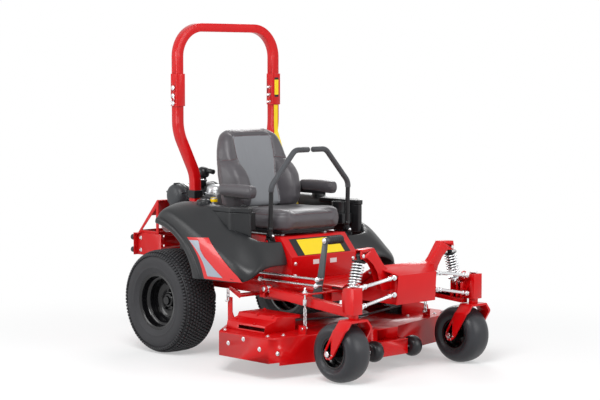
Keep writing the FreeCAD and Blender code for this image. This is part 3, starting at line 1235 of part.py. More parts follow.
# Roll-over bar: bent square uprights with channel brackets, and the folding hoop
ROPS_BEND_LOW_Z = 1030.0
ROPS_BEND_TOP_Z = 1290.0
ROPS_LOCK_Z = 1500.0
ROPS_BOLT_Z = 1456.0
ROPS_FOOT_T = 12.0


def rops_upright():
    """The right upright on its foot, with the channel bracket that holds the hoop."""
    y = -ROPS_Y
    half = ROPS_TUBE / 2
    top = ROPS_HINGE_Z - half - ROPS_SPLIT_GAP
    rail_top = RAIL_BOTTOM + RAIL_H
    seat_z = rail_top + ENGINE_PLATE_T
    corners = [vec(ROPS_FOOT_X, -ROPS_FOOT_Y, seat_z), vec(ROPS_FOOT_X, -ROPS_FOOT_Y, ROPS_BEND_LOW_Z),
               vec(ROPS_X, y, ROPS_BEND_TOP_Z), vec(ROPS_X, y, top)]
    tube = square_tube(corners, (250, 320), Y_AXIS, ROPS_TUBE, ROPS_WALL)
    foot = block(ROPS_FOOT_X - 43, ROPS_FOOT_X + 43, -ROPS_FOOT_Y - half - 1, -ROPS_FOOT_Y + half + 12,
                 seat_z, seat_z + ROPS_FOOT_T)
    step = block(ROPS_FOOT_X - 43, ROPS_FOOT_X + 43, -ROPS_FOOT_Y - half - 1, -RAIL_Y - FACE_CLEARANCE,
                 rail_top, seat_z + ROPS_FOOT_T)
    inner = half + FACE_CLEARANCE
    outer = inner + BRACKET_T
    channel = block(ROPS_X - half, ROPS_X + outer, y - outer, y + outer, BRACKET_LOW_Z, BRACKET_TOP_Z)
    channel = channel.cut(block(ROPS_X - half - 1, ROPS_X + inner, y - inner, y + inner, top,
                                BRACKET_TOP_Z + 1))
    channel = channel.cut(block(ROPS_X - half, ROPS_X + half, y - half, y + half, BRACKET_LOW_Z - 1,
                                top + 1))
    upright = fuse([tube, foot, step, channel])
    for z in (ROPS_HINGE_Z, ROPS_LOCK_Z, ROPS_BOLT_Z):
        upright = upright.cut(rod(vec(ROPS_X, y - 60, z), vec(ROPS_X, y + 60, z), ROPS_PIN_R))
    return upright


def rops_hoop():
    """The folding hoop: one bent square tube with a rounded end at each hinge pin."""
    half = ROPS_TUBE / 2
    top = ROPS_TOP_Z - half
    corners = [vec(ROPS_X, -ROPS_Y, ROPS_HINGE_Z), vec(ROPS_X, -ROPS_Y, top), vec(ROPS_X, ROPS_Y, top),
               vec(ROPS_X, ROPS_Y, ROPS_HINGE_Z)]
    hoop = square_tube(corners, (ROPS_CORNER_R, ROPS_CORNER_R), X_AXIS, ROPS_TUBE, ROPS_WALL)
    for side in (-1.0, 1.0):
        inner = vec(ROPS_X, side * ROPS_Y - half, ROPS_HINGE_Z)
        end = rod(inner, inner + Y_AXIS * ROPS_TUBE, half)
        end = end.fuse(block(ROPS_X - half, ROPS_X + half, inner.y, inner.y + ROPS_TUBE, ROPS_HINGE_Z,
                             ROPS_HINGE_Z + 20))
        hole = rod(inner - Y_AXIS, inner + Y_AXIS * (ROPS_TUBE + 1), ROPS_PIN_R + PIN_CLEARANCE)
        hoop = hoop.fuse(end).removeSplitter().cut(hole)
    return hoop


def rops_pins():
    """Hinge pins, lock pins with their hairpins, and the lower bolts."""
    pins = []
    outer = ROPS_TUBE / 2 + FACE_CLEARANCE + BRACKET_T
    for side in (-1.0, 1.0):
        for z in (ROPS_HINGE_Z, ROPS_LOCK_Z, ROPS_BOLT_Z):
            inside = vec(ROPS_X, side * (ROPS_Y - outer), z)
            outside = vec(ROPS_X, side * (ROPS_Y + outer), z)
            head = rod(outside, outside + Y_AXIS * (side * 7), ROPS_PIN_R + 5)
            tail = rod(inside, inside - Y_AXIS * (side * 16), ROPS_PIN_R - 2)
            pins.append(fuse([rod(inside, outside, ROPS_PIN_R), head, tail]))
        ring = Part.makeTorus(16, 1.8, vec(ROPS_X, side * (ROPS_Y + outer + 9.0), ROPS_LOCK_Z - 16), Y_AXIS)
        pins.append(ring)
    return pins


upright = rops_upright()
save("rops_uprights", group([upright, mirrored(upright)]))
save("rops_hoop", rops_hoop())
save("frame_fasteners", group(suspension_bolts().Solids + rops_pins()))


# Seat: cushion on its pan and slides, back with side wings, and hinged armrests
PAN_T = 20.0
WING_IN_Y = 162.0
ARMREST_PIVOT_Z = 944.0
ARMREST_BOSS_R = 20.0


def seat_cushion():
    """The cushion, and under it the pan with its two slides on the seat riser."""
    low, top = SEAT_LOW_Z, SEAT_TOP_Z
    line = [(SEAT_REAR_X, low), (SEAT_FRONT_X - 8, low), (SEAT_FRONT_X, low + 26),
            (SEAT_FRONT_X - 4, top - 20), (SEAT_FRONT_X - 34, top), (SEAT_REAR_X + 150, top - 8),
            (SEAT_REAR_X, top - 14)]
    corner = SEAT_CORNER_R
    plan = [(SEAT_REAR_X, SEAT_HALF_W - 40), (SEAT_REAR_X + 40, SEAT_HALF_W),
            (SEAT_FRONT_X - corner, SEAT_HALF_W),
            (SEAT_FRONT_X - corner * 0.5, SEAT_HALF_W - corner * 0.13),
            (SEAT_FRONT_X - corner * 0.13, SEAT_HALF_W - corner * 0.5),
            (SEAT_FRONT_X, SEAT_HALF_W - corner)]
    plan += [(x, -y) for x, y in reversed(plan)]
    cushion = side_prism(line, -SEAT_HALF_W, SEAT_HALF_W).common(prism(plan, "z", low - 10, top + 10))
    deck_top = SEAT_DECK_Z + SHEET
    pan_top = low - FACE_CLEARANCE
    pan = block(SEAT_REAR_X + 30, SEAT_FRONT_X - 40, -SEAT_HALF_W + 20, SEAT_HALF_W - 20, pan_top - PAN_T,
                pan_top)
    slides = [block(SEAT_REAR_X + 80, SEAT_FRONT_X - 90, side * 150, side * 186, deck_top + FACE_CLEARANCE,
                    pan_top - PAN_T) for side in (-1.0, 1.0)]
    return group([cushion, fuse([pan] + slides)])


def seat_back():
    """The seat back, leaning rearwards, with a wing at each side."""
    low = SEAT_TOP_Z - 8.3 + FACE_CLEARANCE
    rear = BACK_TOP_X - 20
    line = [(SEAT_REAR_X + 90, low), (SEAT_REAR_X + 66, low + 120), (SEAT_REAR_X + 20, low + 290),
            (BACK_TOP_X + 46, BACK_TOP_Z - 30), (BACK_TOP_X + 28, BACK_TOP_Z), (rear + 12, BACK_TOP_Z - 4),
            (rear, BACK_TOP_Z - 36), (SEAT_REAR_X - 48, low + 160), (SEAT_REAR_X - 22, low)]
    half = BACK_HALF_W
    plan = [(half - 38, low), (half - 8, low + 56), (half, low + 130), (half, low + 220),
            (half - 10, BACK_TOP_Z - 195), (half - 24, BACK_TOP_Z - 128), (half - 44, BACK_TOP_Z - 70),
            (half - 66, BACK_TOP_Z - 34), (half - 96, BACK_TOP_Z - 10), (half - 124, BACK_TOP_Z + 1)]
    plan += [(-y, z) for y, z in reversed(plan)]
    outline = prism(plan, "x", rear - 20, SEAT_FRONT_X)
    wing = [(SEAT_REAR_X + 60, low), (SEAT_REAR_X + 146, low + 6), (SEAT_REAR_X + 168, low + 64),
            (SEAT_REAR_X + 166, low + 132), (SEAT_REAR_X + 142, low + 204), (SEAT_REAR_X + 112, low + 242),
            (SEAT_REAR_X + 70, low + 276), (SEAT_REAR_X, low + 300)]
    wings = [side_prism(wing, side * WING_IN_Y, side * half).common(outline) for side in (-1.0, 1.0)]
    return fuse([side_prism(line, -half, half).common(outline)] + wings)


def armrest():
    """The right armrest pad with its pivot boss against the seat back."""
    y_in = -ARMREST_Y + ARMREST_W / 2
    low = ARMREST_TOP_Z - ARMREST_H
    line = [(ARMREST_REAR_X, low + 12), (ARMREST_REAR_X + 30, low - 6), (ARMREST_FRONT_X - 40, low + 8),
            (ARMREST_FRONT_X, low + 22), (ARMREST_FRONT_X, ARMREST_TOP_Z - 12),
            (ARMREST_FRONT_X - 14, ARMREST_TOP_Z), (ARMREST_REAR_X + 24, ARMREST_TOP_Z - 6),
            (ARMREST_REAR_X, ARMREST_TOP_Z - 20)]
    pad = side_prism(line, y_in - ARMREST_W, y_in)
    pivot = vec(ARMREST_REAR_X + 24, y_in - 12, ARMREST_PIVOT_Z)
    boss = rod(pivot, vec(pivot.x, -BACK_HALF_W - FACE_CLEARANCE, pivot.z), ARMREST_BOSS_R)
    return fuse([pad, boss])


save("seat_cushion", seat_cushion())
save("seat_back", seat_back())
save_pair("armrest", armrest())


# Drive levers: each swings fore and aft on its pivot and folds outwards on a cross bolt
LEVER_STUB_R = 9.0
LEVER_PIVOT_Z = 684.0
LEVER_HUB_R = 18.0
LEVER_HUB_IN = 24.0
LEVER_HUB_OUT = 26.0
LEVER_EYE_W = 28.0
LEVER_EYE_R = 14.0
LEVER_BOLT_R = 5.0
GRIP_START_Z = 965.0


def lever_mount(side):
    """A plate on the seat riser's wall with the stub shaft that the lever pivot turns on."""
    wall = side * RISER_HALF_W
    plate = block(LEVER_X - 26, LEVER_X + 26, wall, wall + side * 8, LEVER_PIVOT_Z - 40, LEVER_PIVOT_Z + 14)
    stub = rod(vec(LEVER_X, wall, LEVER_PIVOT_Z), vec(LEVER_X, side * (LEVER_Y + LEVER_HUB_OUT + 4),
                                                      LEVER_PIVOT_Z), LEVER_STUB_R)
    return [plate, stub]


def lever_pivot():
    """The hub on the stub shaft and the two ears of the cross bolt."""
    y0, y1 = -LEVER_Y - LEVER_HUB_OUT, -LEVER_Y + LEVER_HUB_IN
    hub = rod(vec(LEVER_X, y0, LEVER_PIVOT_Z), vec(LEVER_X, y1, LEVER_PIVOT_Z), LEVER_HUB_R)
    ears = []
    for way in (-1.0, 1.0):
        x0 = LEVER_X + way * (LEVER_EYE_W / 2 + FACE_CLEARANCE)
        ear = block(x0, x0 + way * 6, -LEVER_Y - 15, -LEVER_Y + 15, LEVER_PIVOT_Z + 8, LEVER_Z)
        ears.append(ear.fuse(rod(vec(x0, -LEVER_Y, LEVER_Z), vec(x0 + way * 6, -LEVER_Y, LEVER_Z), 15)))
        ears.append(block(LEVER_X + way * 8, x0 + way * 6, -LEVER_Y - 15, -LEVER_Y + 15, LEVER_PIVOT_Z + 4,
                          LEVER_PIVOT_Z + 16.5))
    reach = X_AXIS * (LEVER_EYE_W / 2 + 14)
    bolt = rod(vec(LEVER_X, -LEVER_Y, LEVER_Z) - reach, vec(LEVER_X, -LEVER_Y, LEVER_Z) + reach,
               LEVER_BOLT_R)
    bore = rod(vec(LEVER_X, y0 - 1, LEVER_PIVOT_Z), vec(LEVER_X, y1 + 1, LEVER_PIVOT_Z),
               LEVER_STUB_R + PIN_CLEARANCE)
    return fuse([hub] + ears + [bolt]).cut(bore)


def drive_lever():
    """The right steering lever: a straight post with a padded bent grip."""
    foot = vec(LEVER_X, -LEVER_Y, LEVER_Z)
    elbow = vec(LEVER_X + 8, -LEVER_Y + 1, LEVER_ELBOW_Z)
    way = (elbow - foot).normalize()
    start = foot + way * (GRIP_START_Z - LEVER_Z)
    post = rod(foot, start + way, LEVER_R)
    eye = rod(foot - X_AXIS * (LEVER_EYE_W / 2), foot + X_AXIS * (LEVER_EYE_W / 2), LEVER_EYE_R)
    corners = [start, elbow, vec(elbow.x, -LEVER_KNEE_Y, LEVER_TOP_Z),
               vec(elbow.x, -LEVER_TIP_Y, LEVER_TOP_Z)]
    grip = round_tube(corners, (70, 60), GRIP_R)
    bolt = rod(foot - X_AXIS * 30, foot + X_AXIS * 30, LEVER_BOLT_R + PIN_CLEARANCE)
    return fuse([post, eye, grip]).cut(bolt)


save("seat_riser", fuse([seat_riser()] + lever_mount(-1.0) + lever_mount(1.0)))
save_pair("lever_pivot", lever_pivot())
save_pair("drive_lever", drive_lever())


# Rear end: bumper with rubber knobs, inclined engine guard, engine, air cleaner and muffler
KNOB_R = 17.0
KNOB_Y = 318.0
GUARD_STRIP_Z = 760.0
ENGINE_X = -190.0
BLOWER_R = 172.0
BLOWER_LOW_Z = 690.0
BLOWER_TOP_Z = 840.0
CANISTER_X = -240.0
CANISTER_Z = 893.0
CANISTER_R = 74.0
CANISTER_Y0 = -300.0
CANISTER_Y1 = 60.0
PRECLEANER_X = -180.0
PRECLEANER_Y = -50.0
MUFFLER_X = -432.0
MUFFLER_Z = 706.0
MUFFLER_R = 52.0
MUFFLER_HALF = 190.0


def rear_bumper():
    """Side panels bolted to the rails and the rear plate with its accessory bolt holes."""
    y_out = RAIL_Y + RAIL_W / 2 + PLATE
    shapes = []
    for side in (-1.0, 1.0):
        outline = [(BUMPER_X + PLATE, BUMPER_LOW_Z), (BUMPER_X + PLATE, BUMPER_TOP_Z),
                   (-340, BUMPER_TOP_Z), (-340, RAIL_BOTTOM + 10), (RAIL_REAR_X + 5, RAIL_BOTTOM + 10),
                   (RAIL_REAR_X - 40, BUMPER_LOW_Z)]
        shapes.append(side_prism(outline, side * (y_out - PLATE), side * y_out))
    plate = block(BUMPER_X, BUMPER_X + PLATE, -BUMPER_HALF_W, BUMPER_HALF_W, BUMPER_LOW_Z, BUMPER_TOP_Z)
    middle = (BUMPER_LOW_Z + BUMPER_TOP_Z) / 2
    for side in (-1.0, 1.0):
        for z in (middle - HITCH_SPACING_Z / 2, middle + HITCH_SPACING_Z / 2):
            spot = vec(BUMPER_X - 1, side * HITCH_SPACING_Y / 2, z)
            plate = plate.cut(rod(spot, spot + X_AXIS * (PLATE + 2), HITCH_BOLT_R))
        for row in range(3):
            z = BUMPER_LOW_Z + 28 + row * 32
            plate = plate.cut(block(BUMPER_X - 1, BUMPER_X + PLATE + 1, side * 150, side * 280, z, z + 16))
    lip = block(BUMPER_X + PLATE, BUMPER_X + 45, -BUMPER_HALF_W, BUMPER_HALF_W, BUMPER_TOP_Z - SHEET,
                BUMPER_TOP_Z)
    return fuse(shapes + [plate, lip])


def bumper_knobs():
    knobs = []
    for side in (-1.0, 1.0):
        for z in (BUMPER_LOW_Z + 30, BUMPER_TOP_Z - 30):
            tip = vec(-REAR_OVERHANG, side * KNOB_Y, z)
            knobs.append(rod(tip, vec(BUMPER_X, side * KNOB_Y, z), KNOB_R).fuse(
                rod(tip + X_AXIS * 20, vec(BUMPER_X, side * KNOB_Y, z), KNOB_R + 4)).removeSplitter())
    return group(knobs)


def rear_guard():
    """The inclined guard: a framed window below, a solid strip above, and a stay at each side."""
    low = (BUMPER_X + 3, BUMPER_TOP_Z)
    top = (GUARD_TOP_X, GUARD_TOP_Z)
    sheet = side_prism(folded([low, top, (GUARD_TOP_X + 30, GUARD_TOP_Z)], -SHEET), -GUARD_HALF_W,
                       GUARD_HALF_W)
    window = block(BUMPER_X - 20, GUARD_TOP_X + 40, -GUARD_HALF_W + 16, GUARD_HALF_W - 16,
                   BUMPER_TOP_Z + 16, GUARD_STRIP_Z)
    sheet = sheet.cut(window).cut(block(BUMPER_X - 20, GUARD_TOP_X, -BUMPER_HALF_W, BUMPER_HALF_W, 0,
                                        BUMPER_TOP_Z))
    shapes = [sheet]
    post_x = GUARD_TOP_X + 12
    for side in (-1.0, 1.0):
        y0, y1 = side * GUARD_HALF_W, side * (GUARD_HALF_W - SHEET)
        stay = side_prism([low, top, (post_x, GUARD_TOP_Z), (post_x, BUMPER_TOP_Z)], y0, y1)
        hole = side_prism([(low[0] + 36, BUMPER_TOP_Z + 16), (GUARD_TOP_X - 12, GUARD_TOP_Z - 52),
                           (GUARD_TOP_X - 12,
                            BUMPER_TOP_Z + 16)], side * (GUARD_HALF_W + 1), side * (GUARD_HALF_W - 20))
        shapes.append(stay.cut(hole))
    return fuse(shapes)


def cylinder_head(side):
    """A finned cylinder and head leaning out of the crankcase."""
    fins = []
    for index in range(6):
        y = side * (150 + index * 12)
        fins.append(block(ENGINE_X - 62, ENGINE_X + 78, y, y + side * 5, 560, 680))
    core = block(ENGINE_X - 45, ENGINE_X + 60, side * 140, side * 215, 575, 665)
    cover = block(ENGINE_X - 50, ENGINE_X + 66, side * 215, side * 240, 570, 672)
    return fuse([core, cover] + fins)


def engine_block():
    """Crankcase, cylinders, intake housing, drive pulley and the muffler behind."""
    top_of_plate = RAIL_BOTTOM + RAIL_H + ENGINE_PLATE_T
    case = block(ENGINE_X - 130, ENGINE_X + 150, -145, 145, top_of_plate, BLOWER_LOW_Z)
    intake = block(ENGINE_X + 70, ENGINE_X + 195, -150, 70, BLOWER_LOW_Z - 60, 905)
    dome = rod(vec(ENGINE_X + 130, -110, 905), vec(ENGINE_X + 130, -110, 928), 52)
    oil_tube = rod(vec(ENGINE_X + 175, -165, BLOWER_LOW_Z - 60), vec(ENGINE_X + 205, -185, 868), 13)
    oil_cap = rod(vec(ENGINE_X + 205, -185, 868), vec(ENGINE_X + 205, -185, 890), 21)
    neck = block(ENGINE_X + 140, ENGINE_X + 185, -178, -140, BLOWER_LOW_Z - 70, BLOWER_LOW_Z - 40)
    clear = rod(vec(ENGINE_X, 0, BLOWER_LOW_Z), vec(ENGINE_X, 0, 1000), BLOWER_R + FACE_CLEARANCE)
    body = fuse([case, cylinder_head(-1.0), cylinder_head(1.0), intake.cut(clear), dome.cut(clear), neck,
                 oil_tube, oil_cap])
    shaft = rod(vec(CRANK_PULLEY_X, 0, 335), vec(CRANK_PULLEY_X, 0, top_of_plate), 14)
    pulley = rod(vec(CRANK_PULLEY_X, 0, 340), vec(CRANK_PULLEY_X, 0, 366), 62)
    tank = rod(vec(MUFFLER_X, -MUFFLER_HALF, MUFFLER_Z), vec(MUFFLER_X, MUFFLER_HALF, MUFFLER_Z), MUFFLER_R)
    pipes = [rod(vec(MUFFLER_X + 10, side * 150, MUFFLER_Z - 20), vec(ENGINE_X - 40, side * 190, 620), 16)
             for side in (-1.0, 1.0)]
    tail = rod(vec(MUFFLER_X, 120, MUFFLER_Z), vec(MUFFLER_X - 68, 120, MUFFLER_Z - 34), 19)
    return group([body, fuse([shaft, pulley]), fuse([tank, tail] + [p.cut(body) for p in pipes])])


def engine_shroud():
    """The blower housing over the flywheel, with its raised rotating screen."""
    base = vec(ENGINE_X, 0, BLOWER_LOW_Z)
    drum = rod(base, vec(ENGINE_X, 0, BLOWER_TOP_Z), BLOWER_R)
    sides = [block(ENGINE_X - 75, ENGINE_X + 68, side * 100, side * 236, BLOWER_LOW_Z - 6,
                   BLOWER_LOW_Z + 40)
             for side in (-1.0, 1.0)]
    drum = fuse([drum] + sides)
    well = rod(vec(ENGINE_X, 0, BLOWER_TOP_Z - 14), vec(ENGINE_X, 0, BLOWER_TOP_Z + 1), BLOWER_R - 34)
    screen = rod(vec(ENGINE_X, 0, BLOWER_TOP_Z - 15), vec(ENGINE_X, 0, BLOWER_TOP_Z - 2), BLOWER_R - 42)
    canister = rod(vec(CANISTER_X, CANISTER_Y0 - 1, CANISTER_Z),
                   vec(CANISTER_X, CANISTER_Y1 + 1, CANISTER_Z), CANISTER_R + 2 + FACE_CLEARANCE)
    return drum.cut(well).fuse(screen).removeSplitter().cut(canister)


def air_cleaner():
    """The canister lying across the engine on its cradle, with its end cap, hose and precleaner."""
    start = vec(CANISTER_X, CANISTER_Y0, CANISTER_Z)
    end = vec(CANISTER_X, CANISTER_Y1, CANISTER_Z)
    body = rod(start, end, CANISTER_R - 4)
    cap = rod(start + Y_AXIS * 12, start + Y_AXIS * 70, CANISTER_R)
    rear_cap = rod(end - Y_AXIS * 40, end, CANISTER_R)
    stem = rod(vec(PRECLEANER_X, PRECLEANER_Y, CANISTER_Z), vec(PRECLEANER_X, PRECLEANER_Y, 1008), 24)
    mushroom = rod(vec(PRECLEANER_X, PRECLEANER_Y, 1008), vec(PRECLEANER_X, PRECLEANER_Y, 1050), 48)
    dome = rod(vec(PRECLEANER_X, PRECLEANER_Y, 1050), vec(PRECLEANER_X, PRECLEANER_Y, 1070), 36)
    spout = rod(vec(PRECLEANER_X, PRECLEANER_Y, 1036), vec(PRECLEANER_X + 82, PRECLEANER_Y - 10, 1036), 14)
    corners = [vec(CANISTER_X, -210, CANISTER_Z), vec(-70, -215, CANISTER_Z - 6),
               vec(ENGINE_X + 150, -190, 850), vec(ENGINE_X + 130, -150, 820)]
    hose = round_tube(corners, (30, 18), 24)
    return fuse([body, cap, rear_cap, stem, mushroom, dome, spout, hose])


engine = engine_block()
cleaner = air_cleaner()
save("rear_bumper", rear_bumper())
save("bumper_knobs", bumper_knobs())
save("rear_guard", rear_guard())
save("air_cleaner", cleaner)
save("engine_block", group(engine.cut(cleaner).Solids))
save("engine_shroud", group(engine_shroud().cut(engine).cut(cleaner).Solids))


# Fenders: moulded tank and fender shells with the wheel arch, a rounded nose beside the footwell, and
# the consoles, filler caps and lever recess on top
ARCH_X = -5.0
ARCH_Z = 345.0
CAP_R = 44.0
FENDER_STATIONS = (
    # x, inner y, top z, shoulder y, shoulder z, valley y, valley z, outer y, ridge z, low z
    (8.0, 440.0, 828.0, 520.0, 826.0, 572.0, 816.0, 612.0, 798.0, 735.0),
    (78.0, 412.0, 893.0, 508.0, 888.0, 596.0, 862.0, 622.0, 838.0, 600.0),
    (261.0, 412.0, 888.0, 520.0, 867.0, 600.0, 822.0, 626.0, 802.0, 520.0),
    (358.0, 412.0, 884.0, 520.0, 839.0, 600.0, 776.0, 626.0, 760.0, 472.0),
    (474.0, 412.0, 860.0, 512.0, 793.0, 600.0, 722.0, 626.0, 706.0, 474.0),
    (560.0, 412.0, 762.0, 505.0, 744.0, 598.0, 678.0, 625.0, 660.0, 475.0),
    (642.0, 412.0, 712.0, 500.0, 712.0, 594.0, 630.0, 620.0, 612.0, 477.0),
    (700.0, 412.0, 684.0, 478.0, 684.0, 586.0, 588.0, 614.0, 570.0, 477.0),
    (762.0, 420.0, 602.0, 480.0, 598.0, 572.0, 552.0, 602.0, 522.0, 480.0),
    (796.0, 440.0, 566.0, 480.0, 566.0, 552.0, 536.0, 584.0, 508.0, 496.0),
)
NOSE_Y = (257.3, 470.0)
NOSE_LOW_Z = 552.0
NOSE_SIDE = ((520, 704), (640, 698), (702, 687), (724, 648), (748, 586), (752, NOSE_LOW_Z),
             (520, NOSE_LOW_Z))
NOSE_RISE = ((600, 470), (530, 545), (257, NOSE_LOW_Z), (257, 400), (600, 400))
CONSOLE_PLAN = ((300, 414), (300, 494), (470, 499), (528, 499), (548, 490), (632, 452), (636, 440),
                (600, 414))
CONSOLE_TOP_Z = 853.0
LID_T = 26.0


def scaled_in(points, inset):
    """An outline drawn in by the inset on every side."""
    wire = Part.makePolygon([vec(a, b, 0) for a, b in points + points[:1]])
    if inset > 0:
        wire = wire.makeOffset2D(-inset, 2)
    return [(vertex.X, vertex.Y) for vertex in wire.OrderedVertexes]


def fender_form(inset):
    """The outer form of the right fender, or the same form drawn in for its hollow."""
    wires = []
    last = len(FENDER_STATIONS) - 1
    for index, (x, yi, zt, yc, zc, yv, zv, yo, zo, zl) in enumerate(FENDER_STATIONS):
        x = x + (inset if index == 0 else 0) - (inset if index == last else 0)
        section = [(-yi, zl), (-yi, zt), (-yc, zc), (-yv, zv), (-yo, zo), (-yo, zl)]
        corners = [vec(x, y, z) for y, z in scaled_in(section, inset)]
        wires.append(Part.makePolygon(corners + corners[:1]))
    tank = Part.makeLoft(wires, True, True)
    rise = prism([(-y, z + inset) for y, z in NOSE_RISE], "x", 660, 900)
    nose = prism(scaled_in(list(NOSE_SIDE), inset), "y", -NOSE_Y[1], -NOSE_Y[0] - inset)
    console = prism(scaled_in([(x, -y) for x, y in CONSOLE_PLAN], inset), "z", 690, CONSOLE_TOP_Z - inset)
    form = tank.cut(rise).fuse(nose).fuse(console)
    arch = rod(vec(ARCH_X, -700, ARCH_Z), vec(ARCH_X, -300, ARCH_Z), ARCH_R + 17 + inset)
    form = form.cut(arch)
    recess = block(LEVER_X - 62 - inset, LEVER_X + 38 + inset, -LEVER_Y - 62 - inset, 0, 620, 800)
    crank_space = block(CRANK_X - 140 - inset, CRANK_X + 200, -LIFT_ROD_Y - 196 - inset, -200, 0,
                        UPPER_LIFT_Z + 25 + inset)
    return form.cut(recess).cut(crank_space)


def fender():
    shell = fender_form(0.0).cut(fender_form(FENDER_WALL))
    pieces = sorted(shell.Solids, key=lambda solid: solid.Volume)
    return pieces[-1]


def side_consoles():
    """Lids and filler caps on both sides, the control panel on the right and the cup holder on the left."""
    pieces = []
    top = FENDER_STATIONS[2][2]
    for side in (-1.0, 1.0):
        lid = [(x + (3 if x > 500 else 0), side * (y + (3 if y > 450 else 0))) for x, y in CONSOLE_PLAN]
        pieces.append(prism(lid, "z", CONSOLE_TOP_Z, CONSOLE_TOP_Z + LID_T))
        base = vec(250, side * 458, top - 14)
        pieces.append(rod(base, base + Z_AXIS * 36, CAP_R))
    panel = block(430, 560, -FENDER_IN_Y + 2, -330, 742, 846)
    knob = rod(vec(500, -372, 846), vec(500, -372, 884),
               9).fuse(rod(vec(500, -372, 872), vec(500, -372, 888), 15))
    pieces.append(fuse([panel, knob]))
    cup = rod(vec(520, 370, 800), vec(520, 370, 872),
              44).cut(rod(vec(520, 370, 808), vec(520, 370, 873), 38))
    shelf = block(420, 590, 326, FENDER_IN_Y - 2, 742, 800)
    pieces.append(fuse([cup, shelf]))
    return pieces


right_fender = fender()
both_fenders = group([right_fender, mirrored(right_fender)])
save("fenders", both_fenders)
save("side_consoles", group([piece.cut(both_fenders) for piece in side_consoles()]))
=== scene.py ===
import bpy, bmesh, math, random
from mathutils import Matrix, Vector


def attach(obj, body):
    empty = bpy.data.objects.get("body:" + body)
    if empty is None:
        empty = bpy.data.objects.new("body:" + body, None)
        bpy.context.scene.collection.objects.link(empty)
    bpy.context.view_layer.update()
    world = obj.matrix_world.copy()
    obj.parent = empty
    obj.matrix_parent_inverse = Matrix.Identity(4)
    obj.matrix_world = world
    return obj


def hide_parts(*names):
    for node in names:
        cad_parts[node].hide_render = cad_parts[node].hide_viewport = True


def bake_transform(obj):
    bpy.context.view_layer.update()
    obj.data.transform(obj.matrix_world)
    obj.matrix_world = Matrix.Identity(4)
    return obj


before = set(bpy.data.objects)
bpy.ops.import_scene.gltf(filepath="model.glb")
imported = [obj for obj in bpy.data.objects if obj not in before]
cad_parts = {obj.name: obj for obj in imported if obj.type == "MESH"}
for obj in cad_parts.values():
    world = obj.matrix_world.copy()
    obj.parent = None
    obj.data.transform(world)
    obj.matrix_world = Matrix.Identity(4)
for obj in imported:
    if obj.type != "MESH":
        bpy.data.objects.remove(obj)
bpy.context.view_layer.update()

# ---------------------------------------------------------------- viewpoint, floor and lights
# The mower stands on a plain pale floor under soft studio lamps, seen from its front right at the
# height of a standing person through a long lens.
view_data = bpy.data.cameras.new("studio_camera")
view_data.lens = 102.75
studio_camera = bpy.data.objects.new("studio_camera", view_data)
studio_camera.location = (7.3439, -6.7663, 1.6571)
studio_camera.rotation_euler = (math.radians(85.63), 0.0, math.radians(46.99))
bpy.context.scene.collection.objects.link(studio_camera)
bpy.context.scene.camera = studio_camera
bpy.context.scene.view_settings.view_transform = "Standard"


def linear(hex_colour):
    """An sRGB hex colour as the linear RGBA that shaders take."""
    channels = [int(hex_colour[i:i + 2], 16) / 255 for i in (1, 3, 5)]
    return tuple(c / 12.92 if c <= 0.04045 else ((c + 0.055) / 1.055) ** 2.4 for c in channels) + (1.0,)


def add_node(tree, kind, settings=None, links=None):
    """One shader node: settings go to its sockets or properties, links name (node, output) for its inputs."""
    node = tree.nodes.new(kind)
    for key, value in (settings or {}).items():
        if key in node.inputs:
            node.inputs[key].default_value = value
        else:
            setattr(node, key, value)
    for key, (source, output) in (links or {}).items():
        tree.links.new(source.outputs[output], node.inputs[key])
    return node


def new_material(name):
    material = bpy.data.materials.new(name)
    material.use_nodes = True
    material.node_tree.nodes.clear()
    return material, material.node_tree


def lamp(name, place, target, size, watts, colour="#FFFFFF"):
    data = bpy.data.lights.new(name, "AREA")
    data.shape, data.size, data.energy = "DISK", size, watts
    data.color = linear(colour)[:3]
    obj = bpy.data.objects.new(name, data)
    obj.location = place
    obj.rotation_euler = (Vector(target) - Vector(place)).to_track_quat("-Z", "Y").to_euler()
    bpy.context.scene.collection.objects.link(obj)


lamp("key_softbox", (2.6, -3.6, 4.6), (0.0, 0.0, 0.6), 3.0, 262)
lamp("front_fill", (5.5, 1.5, 2.6), (0.0, 0.0, 0.6), 3.5, 112)
lamp("left_fill", (-3.0, -5.5, 2.4), (0.0, 0.0, 0.6), 3.0, 112)
lamp("rear_rim", (-3.5, 4.0, 4.2), (0.0, 0.0, 0.8), 3.0, 158)

world = bpy.data.worlds.new("studio_white")
bpy.context.scene.world = world
world.use_nodes = True
world.node_tree.nodes.clear()
tree = world.node_tree
seen = add_node(tree, "ShaderNodeLightPath")
direct = add_node(tree, "ShaderNodeMath", {"operation": "MAXIMUM"}, {0: (seen, "Is Camera Ray"),
        1: (seen, "Is Transmission Ray")})
either = add_node(tree, "ShaderNodeMath", {"operation": "MAXIMUM"}, {0: (direct, 0), 1: (seen, "Is Glossy Ray")})
ambient = add_node(tree, "ShaderNodeBackground", {"Color": linear("#F4F6F8"), "Strength": 0.34})
white = add_node(tree, "ShaderNodeBackground", {"Color": linear("#FFFFFF"), "Strength": 1.0})
mix = add_node(tree, "ShaderNodeMixShader", {}, {0: (either, 0), 1: (ambient, 0), 2: (white, 0)})
add_node(tree, "ShaderNodeOutputWorld", {}, {"Surface": (mix, 0)})

